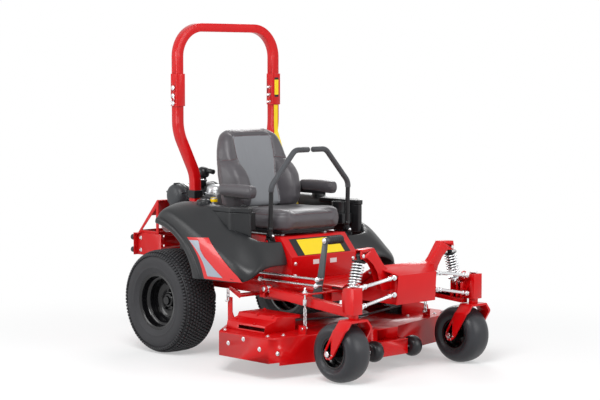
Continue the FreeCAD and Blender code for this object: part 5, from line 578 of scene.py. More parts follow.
for label, side in SIDES:
    rows = [[at(x, side * y, z) for x, y, z in rib] for rib in FENDER_RIBS]
    if side > 0:
        rows = [list(reversed(row)) for row in rows]
    shell = skin_piece("fender_shell_" + label, rows, fender_plastic, "frame", 2, 4.0,
                       stands_for=("fenders",) if label == "right" else ())
    band = []
    for (x0, z0), (x1, z1) in zip(LIP_INNER, LIP_OUTER):
        band.append([at(x0, side * 596, z0), at(x0, side * 622, z0), at(x0 * 0.9 + x1 * 0.1, side * 633,
                z0 * 0.9 + z1 * 0.1), at(x0 * 0.5 + x1 * 0.5, side * 637, z0 * 0.5 + z1 * 0.5),
                     at(x0 * 0.12 + x1 * 0.88, side * 635, z0 * 0.12 + z1 * 0.88), at(x1, side * 622, z1)])
    if side > 0:
        band = [list(reversed(row)) for row in band]
    skin_piece("arch_lip_" + label, band, fender_plastic, "frame", 2, 3.0)
    plan = [(x, side * y) for x, y in CONSOLE_PLAN]
    upright_block("console_" + label, plan, 690, 852.5, fender_plastic, "frame", 8.0)
    lid = [(x + (3.5 if x > 500 else -2), y + side * (3.5 if abs(y) > 430 else -2.5)) for x, y in plan]
    upright_block("console_lid_" + label, lid, 851, 879.5, fender_plastic, "frame", 9.0)
    sticker = []
    for share in range(9):
        t = share / 8
        left = (1 - t) ** 2 * 306 + 2 * t * (1 - t) * 425 + t * t * 455, (1 - t) ** 2 * 706 + 2 * t * (1
                - t) * 610 + t * t * 482
        right = 463 + t * (765 - 463), 712 + t * (484 - 712)
        sticker.append((left, right))
    outer, inner = [], []
    for t, (left, right) in enumerate(sticker):
        share = t / 8
        near = (18 + 12 * share) / max(20, right[0] - left[0])
        far = near + 0.5 - 1.1 * share if share < 0.3 else near + 0.17 + 0.5 * max(0.0, share - 0.5)
        drop = (1 - share) * -16 + share * 16
        outer.append([left, right])
        if far > near:
            inner.append([(left[0] + (right[0] - left[0]) * near, left[1] + (right[1] - left[1]) * near + drop),
                          (left[0] + (right[0] - left[0]) * far, left[1] + (right[1] - left[1]) * far + drop)])
    for name, lines, lift, film in (("decal_border_", outer, 2.6, decal_red), ("decal_field_", inner, 3.6,
            decal_silver)):
        grid = []
        for left, right in lines:
            grid.append([Vector((left[0] + (right[0] - left[0]) * k / 6, 0, left[1] + (right[1] - left[1]) * k / 6))
                         for k in range(7)])
        depsgraph = bpy.context.evaluated_depsgraph_get()
        ground = shell.evaluated_get(depsgraph)
        sheet = []
        for row in grid:
            line = []
            for spot in row:
                start = at(spot.x, side * 900, spot.z)
                hit, where, normal, index = ground.ray_cast(start, Vector((0, -side, 0)))
                where = where if hit else at(spot.x, side * 610, spot.z)
                line.append(Vector((where.x, where.y + side * lift / 1000, where.z)))
            sheet.append(line)
        if side > 0:
            sheet = [list(reversed(line)) for line in sheet]
        points = [p for line in sheet for p in line]
        width = 7
        faces = [(a * width + b, a * width + b + 1, (a + 1) * width + b + 1, (a + 1) * width + b)
                 for a in range(len(sheet) - 1) for b in range(width - 1)]
        piece(name + label, points, faces, film, "frame")

# ---------------------------------------------------------------- seat
# Polyurethane foam pads on a steel pan, covered in sewn black vinyl with a fine leather grain; a lighter grey
# insert of ribbed fabric runs down the back, welted along its seams, and vinyl wings hold the driver's sides.
def upholstery(name, colour, high, roughness, grain_mm, depth, ribs_mm=0.0):
    """Covering for a pad: soft sheen on grained vinyl, or the dull even look of a ribbed fabric."""
    material, tree = new_material(name)
    place = add_node(tree, "ShaderNodeTexCoord")
    cloud = add_node(tree, "ShaderNodeTexNoise", {"Scale": 6.0, "Detail": 5.0, "Roughness": 0.65},
                     {"Vector": (place, "Object")})
    tone = add_node(tree, "ShaderNodeMix", {"data_type": "RGBA"}, {"Factor": (cloud, "Fac")})
    tone.inputs[6].default_value, tone.inputs[7].default_value = linear(colour), linear(high)
    grain = add_node(tree, "ShaderNodeTexVoronoi", {"Scale": 1000 / grain_mm}, {"Vector": (place, "Object")})
    skin = add_node(tree, "ShaderNodeBump", {"Strength": depth, "Distance": 0.0005}, {"Height": (grain, "Distance")})
    if ribs_mm:
        ribs = add_node(tree, "ShaderNodeTexWave", {"Scale": 1000 / ribs_mm / 20, "bands_direction": "Y"},
                        {"Vector": (place, "Object")})
        skin = add_node(tree, "ShaderNodeBump", {"Strength": 0.3, "Distance": 0.0008},
                        {"Height": (ribs, "Fac"), "Normal": (skin, 0)})
    shine = add_node(tree, "ShaderNodeMapRange", {"To Min": roughness - 0.06, "To Max": roughness + 0.08},
                     {"Value": (cloud, "Fac")})
    body = add_node(tree, "ShaderNodeBsdfPrincipled", {"IOR": 1.5, "Sheen Weight": 0.14, "Sheen Roughness": 0.45}, {
        "Base Color": (tone, 2), "Roughness": (shine, 0), "Normal": (skin, 0)})
    add_node(tree, "ShaderNodeOutputMaterial", {}, {"Surface": (body, 0)})
    return material


seat_vinyl = upholstery("grained_seat_vinyl", "#3E3B3F", "#4A474B", 0.43, 1.6, 0.2)
seat_fabric = upholstery("ribbed_seat_fabric", "#77797D", "#808286", 0.62, 1.1, 0.3, 5.0)
welt_vinyl = upholstery("dark_red_welt_vinyl", "#4E3034", "#58383C", 0.45, 1.2, 0.2)


def table(rows, key):
    """The value at key of a table of (key, value) rows, read between its rows."""
    for (k0, v0), (k1, v1) in zip(rows, rows[1:]):
        if key <= k1:
            return v0 + (v1 - v0) * max(0.0, key - k0) / (k1 - k0)
    return rows[-1][1]


def closed_pad(upper, lower, columns, rows):
    """A closed pad mesh of two sheets over one grid, joined along their rim."""
    mesh = bpy.data.meshes.new("pad")
    form = bmesh.new()
    for sheet in (upper, lower):
        corners = [[form.verts.new(sheet(2 * a / columns - 1, b / rows)) for b in range(rows + 1)]
                   for a in range(columns + 1)]
        for a in range(columns):
            for b in range(rows):
                form.faces.new((corners[a][b], corners[a + 1][b], corners[a + 1][b + 1], corners[a][b + 1]))
    bmesh.ops.remove_doubles(form, verts=form.verts, dist=0.0006)
    bmesh.ops.recalc_face_normals(form, faces=form.faces)
    form.to_mesh(mesh)
    form.free()
    return mesh


def stuffed(mesh, voxel_mm, pressure, cap_mm):
    """The pad remeshed evenly and blown up like a filled cover, no point moving further than the cap."""
    pad = bpy.data.objects.new("stuffing", mesh)
    bpy.context.scene.collection.objects.link(pad)
    even = pad.modifiers.new("even_mesh", "REMESH")
    even.mode, even.voxel_size = "VOXEL", voxel_mm / 1000
    relax = pad.modifiers.new("even_skin", "SMOOTH")
    relax.factor, relax.iterations = 0.5, 6
    start = bpy.data.meshes.new_from_object(pad.evaluated_get(bpy.context.evaluated_depsgraph_get()))
    bpy.data.objects.remove(pad)
    cover = bpy.data.objects.new("cover", start)
    bpy.context.scene.collection.objects.link(cover)
    cloth = cover.modifiers.new("filled_cover", "CLOTH")
    cloth.settings.quality = 5
    cloth.settings.use_pressure = True
    cloth.settings.uniform_pressure_force = pressure
    cloth.settings.effector_weights.gravity = 0.0
    cloth.settings.tension_stiffness = cloth.settings.compression_stiffness = 12.0
    cloth.point_cache.frame_end = 20
    for frame_number in range(1, 21):
        bpy.context.scene.frame_set(frame_number)
    swollen = bpy.data.meshes.new_from_object(cover.evaluated_get(bpy.context.evaluated_depsgraph_get()))
    for before, after in zip(start.vertices, swollen.vertices):
        step = after.co - before.co
        if step.length > cap_mm / 1000:
            after.co = before.co + step.normalized() * cap_mm / 1000
    bpy.data.objects.remove(cover)
    bpy.context.scene.frame_set(1)
    return swollen


def pad_piece(name, mesh, materials, body, stands_for=(), inlay=None, seams=()):
    """A finished pad: its faces sorted by inlay, its seams pulled in and smoothed once."""
    for material in materials:
        mesh.materials.append(material)
    for face in mesh.polygons:
        face.use_smooth = True
        middle = face.center * 1000
        if inlay and inlay(middle.x - AXLE_LINE, middle.y, middle.z, face.normal):
            face.material_index = 1
    for vert in mesh.vertices:
        for seam, depth, width in seams:
            gap = seam(vert.co.x * 1000 - AXLE_LINE, vert.co.y * 1000, vert.co.z * 1000, vert.normal)
            if abs(gap) < 3 * width:
                vert.co -= vert.normal * depth / 1000 * math.exp(-(gap / width) ** 2)
    pad = bpy.data.objects.new(name, mesh)
    bpy.context.scene.collection.objects.link(pad)
    finer = pad.modifiers.new("smooth_cover", "SUBSURF")
    finer.levels = finer.render_levels = 1
    if stands_for:
        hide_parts(*stands_for)
    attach(pad, body)
    return pad


def welt(name, pad, spots, toward, radius_mm, body):
    """A round welt sewn along spots in mm, laid on the pad by looking from outside toward it."""
    skin = pad.evaluated_get(bpy.context.evaluated_depsgraph_get())
    laid = []
    for spot in spots:
        start = at(*spot) - toward * 0.3
        hit, where, normal, index = skin.ray_cast(start, toward)
        if hit:
            laid.append(where + normal * radius_mm / 2500)
    line = bpy.data.curves.new(name, "CURVE")
    line.dimensions, line.bevel_depth, line.bevel_resolution = "3D", radius_mm / 1000, 3
    run = line.splines.new("NURBS")
    run.points.add(len(laid) - 1)
    for point, spot in zip(run.points, laid):
        point.co = (*spot, 1.0)
    run.order_u, run.use_endpoint_u = 4, True
    line.materials.append(welt_vinyl)
    cord = bpy.data.objects.new(name, line)
    bpy.context.scene.collection.objects.link(cord)
    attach(cord, body)
    return cord


BACK_WIDTH = ((832, 234), (860, 255), (900, 266), (960, 272), (1040, 273), (1108, 264), (1150, 256), (1183, 249),
              (1240, 229), (1275, 207), (1296, 178), (1307, 146))
WING_SWELL = ((832, 50), (895, 92), (962, 108), (1035, 104), (1070, 88), (1098, 66), (1118, 38), (1140, 24),
              (1200, 22), (1270, 18), (1307, 8))
INSERT_HALF = ((832, 122), (900, 122), (1000, 120), (1060, 126), (1100, 138), (1140, 148), (1250, 150), (1262, 150))


def back_depths(y, z):
    """Front and rear face of the seat back at a height and distance from its middle, in mm."""
    edge = table(INSERT_HALF, z)
    width = table(BACK_WIDTH, z)
    out = min(1.0, max(0.0, (abs(y) - edge) / 52))
    swell = table(WING_SWELL, z) * math.sin(out * math.pi / 2) ** 1.2
    falling = max(0.0, (abs(y) - edge - 44) / max(30.0, width - edge))
    front = 264 - (z - 838) * 0.286 + swell * (1 - 0.5 * falling ** 2) - 5 * math.cos(min(1.0,
            abs(y) / edge) * math.pi / 2)
    rear = table(((832, 156), (990, 130), (1274, 72), (1307, 76)), z)
    return front, rear


def back_sheet(front_face):
    def sheet(u, v):
        z = 832 + (1307 - 832) * v
        width = table(BACK_WIDTH, z)
        y = u * width
        front, rear = back_depths(y, z)
        round_front = min(1.0, (width - abs(y)) / 46)
        round_rear = min(1.0, (width - abs(y)) / 26)
        ends = min(1.0, (1307 - z) / 34) if v > 0.5 else min(1.0, (z - 832) / 26)
        middle = rear + (front - rear) * 0.42
        if front_face:
            share = math.sqrt(max(0.0, 1 - (1 - round_front) ** 2)) * math.sqrt(max(0.0, 1 - (1 - ends) ** 2))
            return at(middle + (front - middle) * share, y, z)
        share = math.sqrt(max(0.0, 1 - (1 - round_rear) ** 2)) * math.sqrt(max(0.0, 1 - (1 - ends) ** 2))
        return at(middle + (rear - middle) * share, y, z)
    return sheet


def insert_gap(x, y, z, normal):
    """Distance in mm from the seam round the fabric insert; only the front of the back counts."""
    if normal.x < 0.1:
        return 99.0
    return max(abs(y) - table(INSERT_HALF, z), z - 1262)


back_pad = stuffed(closed_pad(back_sheet(True), back_sheet(False), 54, 50), 6.5, 3.0, 7.0)
seat_back = pad_piece("seat_back_cover", back_pad, (seat_vinyl, seat_fabric), "seat", ("seat_back",),
                      inlay=lambda x, y, z, n: insert_gap(x, y, z, n) < 0, seams=((insert_gap, 3.5, 6.0),
        (lambda x, y, z, n: z - 1128 + (abs(y) - 200) * 0.12 if abs(y) > 140 and n.x > -0.6 else 99, 4.5, 7.0)))
INTO_SEAT = Vector((-1.0, 0.0, 0.0))
for side in (-1, 1):
    edge = [(420, side * table(INSERT_HALF, z), z) for z in range(846, 1256, 20)] + [(420, side * 132, 1262)]
    welt("insert_welt_%s" % ("right" if side < 0 else "left"), seat_back, edge, INTO_SEAT, 1.2, "seat")
    crown = [(420, side * y, 1128 - (y - 200) * 0.12) for y in range(150, 249, 8)]
    welt("wing_welt_%s" % ("right" if side < 0 else "left"), seat_back, crown, INTO_SEAT, 1.6, "seat")
welt("insert_top_welt", seat_back, [(420, y, 1262) for y in range(-132, 133, 12)], INTO_SEAT, 1.2, "seat")

CUSHION = (176.0, 700.0, 262.0, 744.0, 844.0)


def cushion_sheet(top_face):
    rear_x, front_x, half, low, high = CUSHION

    def sheet(u, v):
        x = rear_x + (front_x - rear_x) * v
        from_front, from_rear = front_x - x, x - rear_x
        narrow = 106 - math.sqrt(max(0.0, 106 ** 2 - max(0.0, 106 - from_front) ** 2))
        narrow += 46 - math.sqrt(max(0.0, 46 ** 2 - max(0.0, 46 - from_rear) ** 2))
        width = half - narrow
        y = u * width
        rim = min(1.0, (width - abs(y)) / 24, from_front / 24, from_rear / 24)
        share = math.sqrt(max(0.0, 1 - (1 - rim) ** 2))
        middle = (low + high) / 2 - 4
        side_roll = 9 * math.exp(-((abs(y) - 196) / 46) ** 2)
        front_roll = 7 * math.exp(-((x - 600) / 90) ** 2) - 9 * max(0.0, (x - 646) / 56) ** 2
        if top_face:
            return at(x, y, middle + (high - 8 + side_roll + front_roll - middle) * share)
        return at(x, y, middle - (middle - low) * share)
    return sheet


cushion_pad = stuffed(closed_pad(cushion_sheet(True), cushion_sheet(False), 52, 54), 6.5, 3.0, 7.0)
cushion = pad_piece("seat_cushion_cover", cushion_pad, (seat_vinyl,), "seat", stands_for=("seat_cushion",),
                    seams=((lambda x, y, z, n: z - 826 if n.z < 0.75 else 99, 2.5, 5.0),
                           (lambda x, y, z, n: abs(y) - 128 if n.z > 0.6 else 99, 3.0, 5.0)))
rim = []
for share in range(49):
    turn = math.pi * (share / 48 - 0.5)
    rim.append((594 + 128 * math.cos(turn) ** 0.7, 262 * math.copysign(abs(math.sin(turn)) ** 0.72,
            math.sin(turn)) * 1.2, 827))
for part, ends in (("front", rim), ("right", [(x, -300, 827) for x in range(206, 596, 24)]),
                   ("left", [(x, 300, 827) for x in range(206, 596, 24)])):
    toward = INTO_SEAT if part == "front" else Vector((0.0, 1.0 if part == "right" else -1.0, 0.0))
    welt("cushion_welt_" + part, cushion, [spot for spot in ends if abs(spot[1]) < 170 or part != "front"], toward,
         1.6, "seat")

# The seat stands on a pressed steel pan with rolled lips, carried by two slides bolted to the riser.
tray = ((212, 200), (232, 238), (586, 242), (646, 208), (660, 152), (660, -152), (646, -208), (586, -242),
        (232, -238), (212, -200))
upright_block("seat_pan", tray, 727, 741.5, black_coat, "seat", 4.0)
upright_block("seat_pan_lip", [(x * 0.985 + 6, y * 0.97) for x, y in tray], 719, 728, black_coat, "seat", 2.5)
for label, side in SIDES:
    for part, inner, outer, low, high in (("rail", 152, 184, 711, 720), ("runner", 157, 179, 702.6, 712)):
        plan = [(258, side * inner), (258, side * outer), (610, side * outer), (610, side * inner)]
        upright_block("seat_%s_%s" % (part, label), plan, low, high, zinc if part == "runner" else black_coat, "seat",
                      1.6)


# Armrests: moulded foam pads over a steel arm, rounded at both ends, turning up about a bolt in the seat's side.
def arm_sheet(top_face):
    def sheet(u, v):
        x = 240 + (536 - 240) * v
        ends = min(1.0, (536 - x) / 34, (x - 240) / 30)
        width = 31 * (0.42 + 0.58 * math.sqrt(max(0.0, 1 - (1 - ends) ** 2)))
        y = u * width
        rim = min(1.0, (width - abs(y)) / 20, (536 - x) / 22, (x - 240) / 22)
        share = math.sqrt(max(0.0, 1 - (1 - rim) ** 2))
        middle = 954 + 4 * v
        if top_face:
            return at(x, y - 320, middle + (991 + 4 * math.sin(v * math.pi) - middle) * share)
        return at(x, y - 320, middle - (middle - 919 - 8 * (1 - v)) * share)
    return sheet


arm_pad = stuffed(closed_pad(arm_sheet(True), arm_sheet(False), 18, 60), 4.5, 3.0, 4.0)
for label, side in SIDES:
    mesh = arm_pad.copy()
    if side > 0:
        mirror = bmesh.new()
        mirror.from_mesh(mesh)
        for vert in mirror.verts:
            vert.co.y = -vert.co.y
        bmesh.ops.reverse_faces(mirror, faces=mirror.faces)
        mirror.to_mesh(mesh)
        mirror.free()
    pad_piece("armrest_cover_" + label, mesh, (seat_vinyl,), "armrest_" + label, ("armrest_" + label,),
              seams=((lambda x, y, z, n: z - 934 if abs(n.z) < 0.8 else 99, 2.0, 4.0),))
    boss_points, boss_faces = turned([(0.1, 0), (15, 0), (19, 2), (20, 5), (20, 22), (24, 24), (24, 30), (0.1, 30)],
                                     at(260, side * 276.6, 944), side, 32, closed=False)
    piece("armrest_boss_" + label, boss_points, boss_faces, black_coat, "armrest_" + label)
    bracket = ((248, side * 300), (248, side * 306), (470, side * 306), (470, side * 300))
    upright_block("armrest_arm_" + label, bracket, 912.5, 934, black_coat, "armrest_" + label, 1.5)

# ---------------------------------------------------------------- filler caps and side panels
# Screwed polypropylene filler caps with moulded grips, the steel panel with the choke knob on the right, and
# a moulded cup holder on the left; black throughout, the caps a little shinier than the tank skin.
cap_plastic = moulded_plastic("moulded_polypropylene", "#131416", 0.3, 1.4, 0.12)


def raised_on(points):
    """Points made about the Y axis stood up, so that they turn about the vertical."""
    return [Vector((p.x, p.z, p.y)) for p in points]


for label, side in SIDES:
    profile = [(0.1, 36), (20, 36), (30, 34), (37, 30), (41, 24), (41, 4), (44, 2), (44, 0), (0.1, 0)]
    points, faces = turned(profile, Vector((0, 0, 0)), 1, 48, closed=False)
    points = raised_on(points)
    for n in range(18):
        turn = 2 * math.pi * n / 18
        out, along = Vector((math.cos(turn), math.sin(turn), 0)), Vector((-math.sin(turn), math.cos(turn), 0))
        add_block(points, faces, bar_points(out * 0.040, along, out, Vector((0, 0, 1)), 7.0, 5.0, 26.0, 1.0))
    for way in (Vector((1, 0, 0)),):
        add_block(points, faces, bar_points(Vector((0, 0, 0.034)), way, Vector((0, 1, 0)), Vector((0, 0, 1)), 52.0,
                                            12.0, 8.0, 2.0))
    base = at(250, side * 458, 874)
    piece("filler_cap_" + label, [p + base for p in points], faces, cap_plastic, "frame", rounds=1.0)

panel = ((430, -408), (430, -332), (560, -332), (560, -408))
upright_block("control_panel", panel, 742, 845, black_coat, "frame", 4.0, stands_for=("side_consoles",))
knob = [(0.1, 43), (9, 43), (14, 39), (15, 33), (14, 28), (8, 25), (7, 4), (10, 3), (10, 0), (0.1, 0)]
points, faces = turned(knob, Vector((0, 0, 0)), 1, 32, closed=False)
piece("choke_knob", [p + at(500, -372, 845) for p in raised_on(points)], faces, cap_plastic, "frame", rounds=0.6)
for spot in (448, 542):
    points, faces = turned([(0.1, 4), (5, 3.4), (7, 1.5), (7, 0), (0.1, 0)], Vector((0, 0, 0)), 1, 24, closed=False)
    piece("panel_screw_%d" % spot, [p + at(spot, -350, 845) for p in raised_on(points)], faces, zinc, "frame")
cup = [(38, 6), (39, 60), (41, 66), (44, 68), (46, 66), (44, 60), (43, 0), (0.1, 0), (0.1, 5)]
points, faces = turned(cup, Vector((0, 0, 0)), 1, 48, closed=False)
piece("cup_holder", [p + at(520, 370, 802) for p in raised_on(points)], faces, cap_plastic, "frame", rounds=1.0)
shelf = ((422, 327), (422, 409), (590, 409), (590, 327))
upright_block("cup_holder_shelf", shelf, 742, 802, cap_plastic, "frame", 6.0)


# ---------------------------------------------------------------- drive levers and roll bar fittings
# Each steering lever is a bent steel tube on a cross-bolted hub, sleeved from the elbow up in soft dark grey
# foam with a plugged end; pull straps, spring hairpins and yellow warning tape dress the roll bar.
def foam_grip(name, colour, pore_mm):
    """Closed-cell foam sleeve: dull dark grey, with fine open pores and a soft edge to its sheen."""
    material, tree = new_material(name)
    place = add_node(tree, "ShaderNodeTexCoord")
    cloud = add_node(tree, "ShaderNodeTexNoise", {"Scale": 14.0, "Detail": 3.0}, {"Vector": (place, "Object")})
    tone = add_node(tree, "ShaderNodeMix", {"data_type": "RGBA"}, {"Factor": (cloud, "Fac")})
    tone.inputs[6].default_value, tone.inputs[7].default_value = linear(colour), linear("#3C3E42")
    pores = add_node(tree, "ShaderNodeTexVoronoi", {"Scale": 1000 / pore_mm}, {"Vector": (place, "Object")})
    skin = add_node(tree, "ShaderNodeBump", {"Strength": 0.35, "Distance": 0.0005}, {"Height": (pores, "Distance")})
    body = add_node(tree, "ShaderNodeBsdfPrincipled", {"Roughness": 0.6, "IOR": 1.45, "Sheen Weight": 0.15},
                    {"Base Color": (tone, 2), "Normal": (skin, 0)})
    add_node(tree, "ShaderNodeOutputMaterial", {}, {"Surface": (body, 0)})
    return material


lever_foam = foam_grip("closed_cell_grip_foam", "#2E3034", 1.0)


def bent_bar(name, spots, bends, radius_mm, material, body, stands_for=(), round_end=0.0):
    """A round bar through spots in mm, its inner corners bent to the given radii; round_end tapers both ends."""
    line = [Vector(spots[0])]
    for before, corner, after, radius in zip(spots, spots[1:], spots[2:], bends):
        back, ahead = (Vector(before) - Vector(corner)).normalized(), (Vector(after) - Vector(corner)).normalized()
        half = back.angle(ahead) / 2
        centre = Vector(corner) + (back + ahead).normalized() * radius / math.sin(half)
        enter, leave = Vector(corner) + back * radius / math.tan(half), Vector(corner) + ahead * radius / math.tan(half)
        for n in range(11):
            line.append(centre + (enter - centre).normalized().slerp((leave - centre).normalized(), n / 10) * radius)
    line.append(Vector(spots[-1]))
    sizes = [1.0] * len(line)
    if round_end:
        first, last = (line[1] - line[0]).normalized(), (line[-2] - line[-1]).normalized()
        steps = ((0.0, 0.35), (0.12, 0.66), (0.4, 0.9), (1.0, 1.0))
        heads = [line[0] + first * round_end * share for share, size in steps]
        tails = [line[-1] + last * round_end * share for share, size in reversed(steps)]
        line = heads + line[1:-1] + tails
        sizes = [size for share, size in steps] + [1.0] * (len(line) - 8) + [size for share, size in reversed(steps)]
    curve = bpy.data.curves.new(name, "CURVE")
    curve.dimensions, curve.bevel_depth, curve.bevel_resolution, curve.use_fill_caps = "3D", radius_mm / 1000, 8, True
    run = curve.splines.new("POLY")
    run.points.add(len(line) - 1)
    for point, spot, size in zip(run.points, line, sizes):
        point.co = (*at(*spot), 1.0)
        point.radius = size
    run.use_smooth = True
    curve.materials.append(material)
    bar = bpy.data.objects.new(name, curve)
    bpy.context.scene.collection.objects.link(bar)
    if stands_for:
        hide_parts(*stands_for)
    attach(bar, body)
    return bar


for label, side in SIDES:
    body = "drive_lever_" + label
    foot, elbow = Vector((653, side * 305, 716)), Vector((661, side * 304, 998))
    collar = foot + (elbow - foot) * (965 - 716) / (998 - 716)
    bent_bar("lever_post_" + label, [foot, collar], (), 13.0, black_coat, body, stands_for=(body,))
    bent_bar("lever_eye_" + label, [foot - Vector((14, 0, 0)), foot + Vector((14, 0, 0))], (), 14.0, black_coat, body,
             round_end=2.5)
    bent_bar("lever_grip_" + label, [collar - Vector((0, 0, 4)), elbow, (661, side * 121, 1196),
                                     (661, side * 13, 1196)], (70, 60), 16.0, lever_foam, body, round_end=7.0)
    bent_bar("lever_strap_" + label, [foot + Vector((0, 0, 26)), foot + Vector((1, 0, 48))], (), 16.0, black_coat,
             body, round_end=2.0)
    for way in (-1, 1):
        nut = [(0.1, 8), (5, 8), (8.5, 6), (9, 0), (0.1, 0)]
        points, faces = turned(nut, Vector((0, 0, 0)), 1, 6, closed=False)
        turned_round = [Vector((way * p.y, p.x, p.z)) + at(653 + way * 20.6, side * 305, 716) for p in points]
        piece("lever_nut_%s_%s" % (label, "front" if way > 0 else "rear"), turned_round, faces, zinc,
              "lever_pivot_" + label)

# ---------------------------------------------------------------- engine, air cleaner and muffler
# An upright-shaft V-twin: finned heads and crankcase in black-painted cast aluminium, a bare cast intake cover,
# a moulded blower housing over the spinning screen, and a bolted-on canister cleaner with its hose and clamps.
engine_paint = cast_metal("black_painted_cast_aluminium", "#1A1B1D", 0.0, 0.42)
blower_plastic = moulded_plastic("glass_filled_nylon", "#1B1C1F", 0.4, 1.6, 0.2)
canister_plastic = moulded_plastic("moulded_nylon_canister", "#2C2E31", 0.42, 1.8, 0.22)
hose_rubber = rubber("moulded_intake_hose", "#161618", "#242427", 0.45, 1.4)
yellow_plastic = moulded_plastic("yellow_moulded_nylon", "#E8C400", 0.35, 1.2, 0.1)
finish_node("engine_block", engine_paint, 1.5, cast_aluminium, lambda x, y, z: (x > -128 and z > 700 and y < 75)
            or x < -375)
finish_node("engine_shroud", blower_plastic, 3.0)
ENGINE_X = -190.0


def upright_turned(name, profile, x, y, z, steps, material, rounds=0.0, stands_for=(), closed=False):
    """A piece turned about an upright line on the engine or frame."""
    points, faces = turned(profile, Vector((0, 0, 0)), 1, steps, closed=closed)
    return piece(name, [p + at(x, y, z) for p in raised_on(points)], faces, material, "frame", rounds=rounds,
                 stands_for=stands_for)


screen_points, screen_faces = turned([(126, 4), (130, 3), (130, -4), (122, -4), (122, 3)], Vector((0, 0, 0)), 1, 72)
screen_points = raised_on(screen_points)
for ring_r in (34, 66, 96):
    more, ring_faces = turned([(ring_r + 3, 3), (ring_r + 3, -2), (ring_r - 3, -2), (ring_r - 3, 3)],
                              Vector((0, 0, 0)), 1, 60)
    base = len(screen_points)
    screen_points += raised_on(more)
    screen_faces += [tuple(base + i for i in face) for face in ring_faces]
for n in range(40):
    turn = 2 * math.pi * n / 40
    out, along = Vector((math.cos(turn), math.sin(turn), 0)), Vector((-math.sin(turn), math.cos(turn), 0))
    add_block(screen_points, screen_faces, bar_points(out * 0.079, out, along, Vector((0, 0, 1)), 92.0, 4.0, 3.4,
                                                      0.4))
piece("engine_screen", [p + at(ENGINE_X, 0, 843) for p in screen_points], screen_faces, black_coat, "frame",
      rounds=0.4)
upright_turned("engine_screen_hub", [(0.1, 9), (8, 9), (10, 7), (24, 5), (30, 0), (0.1, 0)], ENGINE_X, 0, 841, 32,
               zinc)
for n in range(6):
    turn = math.radians(60 * n + 30)
    upright_turned("blower_bolt_%d" % n, [(0.1, 6), (5.5, 6), (6.5, 5), (6.5, 1.5), (10, 1), (10, 0), (0.1, 0)],
                   ENGINE_X + 152 * math.cos(turn), 152 * math.sin(turn), 840, 18, zinc)

upright_turned("intake_cover", [(0.1, 60), (26, 59), (44, 54), (54, 44), (58, 28), (58, 12), (66, 8), (66, 0),
                                (0.1, 0)], -62, -100, 904, 48, cast_aluminium, 1.0)
for n in range(5):
    turn = math.radians(72 * n + 20)
    upright_turned("intake_bolt_%d" % n, [(0.1, 6), (5, 6), (6, 5), (6, 0), (0.1, 0)], -62 + 62 * math.cos(turn),
                   -100 + 62 * math.sin(turn), 911, 12, zinc)
cap_profile = [(0.1, 26), (12, 26), (17, 24), (20, 20), (22.5, 12), (22.5, 2), (21.5, 0), (0.1, 0)]
points, faces = turned(cap_profile, Vector((0, 0, 0)), 1, 32, closed=False)
points = raised_on(points)
for n in range(14):
    turn = 2 * math.pi * n / 14
    out, along = Vector((math.cos(turn), math.sin(turn), 0)), Vector((-math.sin(turn), math.cos(turn), 0))
    add_block(points, faces, bar_points(out * 0.022, along, out, Vector((0, 0, 1)), 3.6, 3.0, 15.0, 0.6))
piece("oil_filler_cap", [p + at(15, -185, 867) for p in points], faces, yellow_plastic, "frame", rounds=0.5)

# The cleaner canister lies across the engine: a domed end cap held by wire clips, and steel clamps on its hose.
shell = [(0.1, -300), (30, -300), (52, -296), (66, -286), (73, -270), (74, -250), (77, -247), (77, -238), (72, -235),
         (70, -228), (70, -60), (72, -56), (72, 16), (76, 20), (76, 28), (72, 32), (70, 46), (56, 56), (24, 60),
         (0.1, 60)]
points, faces = turned(shell, at(-240, 0, 893), 1, 64, closed=False)
for n in range(5):
    turn = math.radians(72 * n + 18)
    out = Vector((math.cos(turn), 0, math.sin(turn)))
    along = Vector((-math.sin(turn), 0, math.cos(turn)))
    add_block(points, faces, bar_points(at(-240, -262, 893) + out * 0.071, along, Vector((0, 1, 0)), out, 12.0, 44.0,
                                        8.0, 2.0))
piece("air_cleaner_canister", points, faces, canister_plastic, "frame", rounds=1.2, stands_for=("air_cleaner",))
for name, y in (("right", -206), ("middle", -96), ("left", 4)):
    points, faces = turned([(73.6, -7), (73.6, 7), (71.4, 7), (71.4, -7)], at(-240, y, 893), 1, 64)
    add_block(points, faces, bar_points(at(-166, y, 893), Vector((0, 0, 1)), Vector((0, 1, 0)), Vector((1, 0, 0)),
                                        22.0, 10.0, 7.0, 1.0))
    piece("canister_band_" + name, points, faces, zinc if name == "right" else black_coat, "frame", rounds=0.6)
bent_bar("intake_hose", [(-210, -212, 893), (-92, -216, 890), (-30, -176, 862), (-50, -140, 842)], (34, 20), 24.0,
         hose_rubber, "frame", round_end=2.0)
for n, spot in enumerate(((-158, -214, 891.6), (-142, -214.6, 891.3), (-126, -215.2, 891))):
    ring, faces = turned([(27.5, -4), (27.5, 4), (24.2, 4), (24.2, -4)], Vector((0, 0, 0)), 1, 32)
    piece("intake_hose_%s" % ("clamp" if n == 0 else "rib_%d" % n),
          [Vector((p.y, p.x, p.z)) + at(*spot) for p in ring], faces, zinc if n == 0 else hose_rubber, "frame",
          rounds=0.5)
upright_turned("precleaner_stem", [(0.1, 70), (17, 70), (17, 44), (21, 42), (21, 30), (17, 28), (17, 0), (0.1, 0)],
               -181, -100, 946, 32, hose_rubber)
upright_turned("precleaner_clamp", [(19.2, 8), (22.4, 8), (22.4, -2), (19.2, -2)], -181, -100, 984, 32, zinc,
               closed=True)
upright_turned("precleaner_bowl", [(0.1, 66), (14, 65), (25, 61), (33, 52), (37, 40), (37, 22), (34, 10), (26, 2),
                                   (17, 0), (0.1, 0)], -181, -100, 1000, 48, cap_plastic)
bent_bar("precleaner_spout", [(-165, -98, 1038), (-128, -92, 1041), (-96, -90, 1036)], (30,), 15.0, cap_plastic,
         "frame", round_end=2.0)

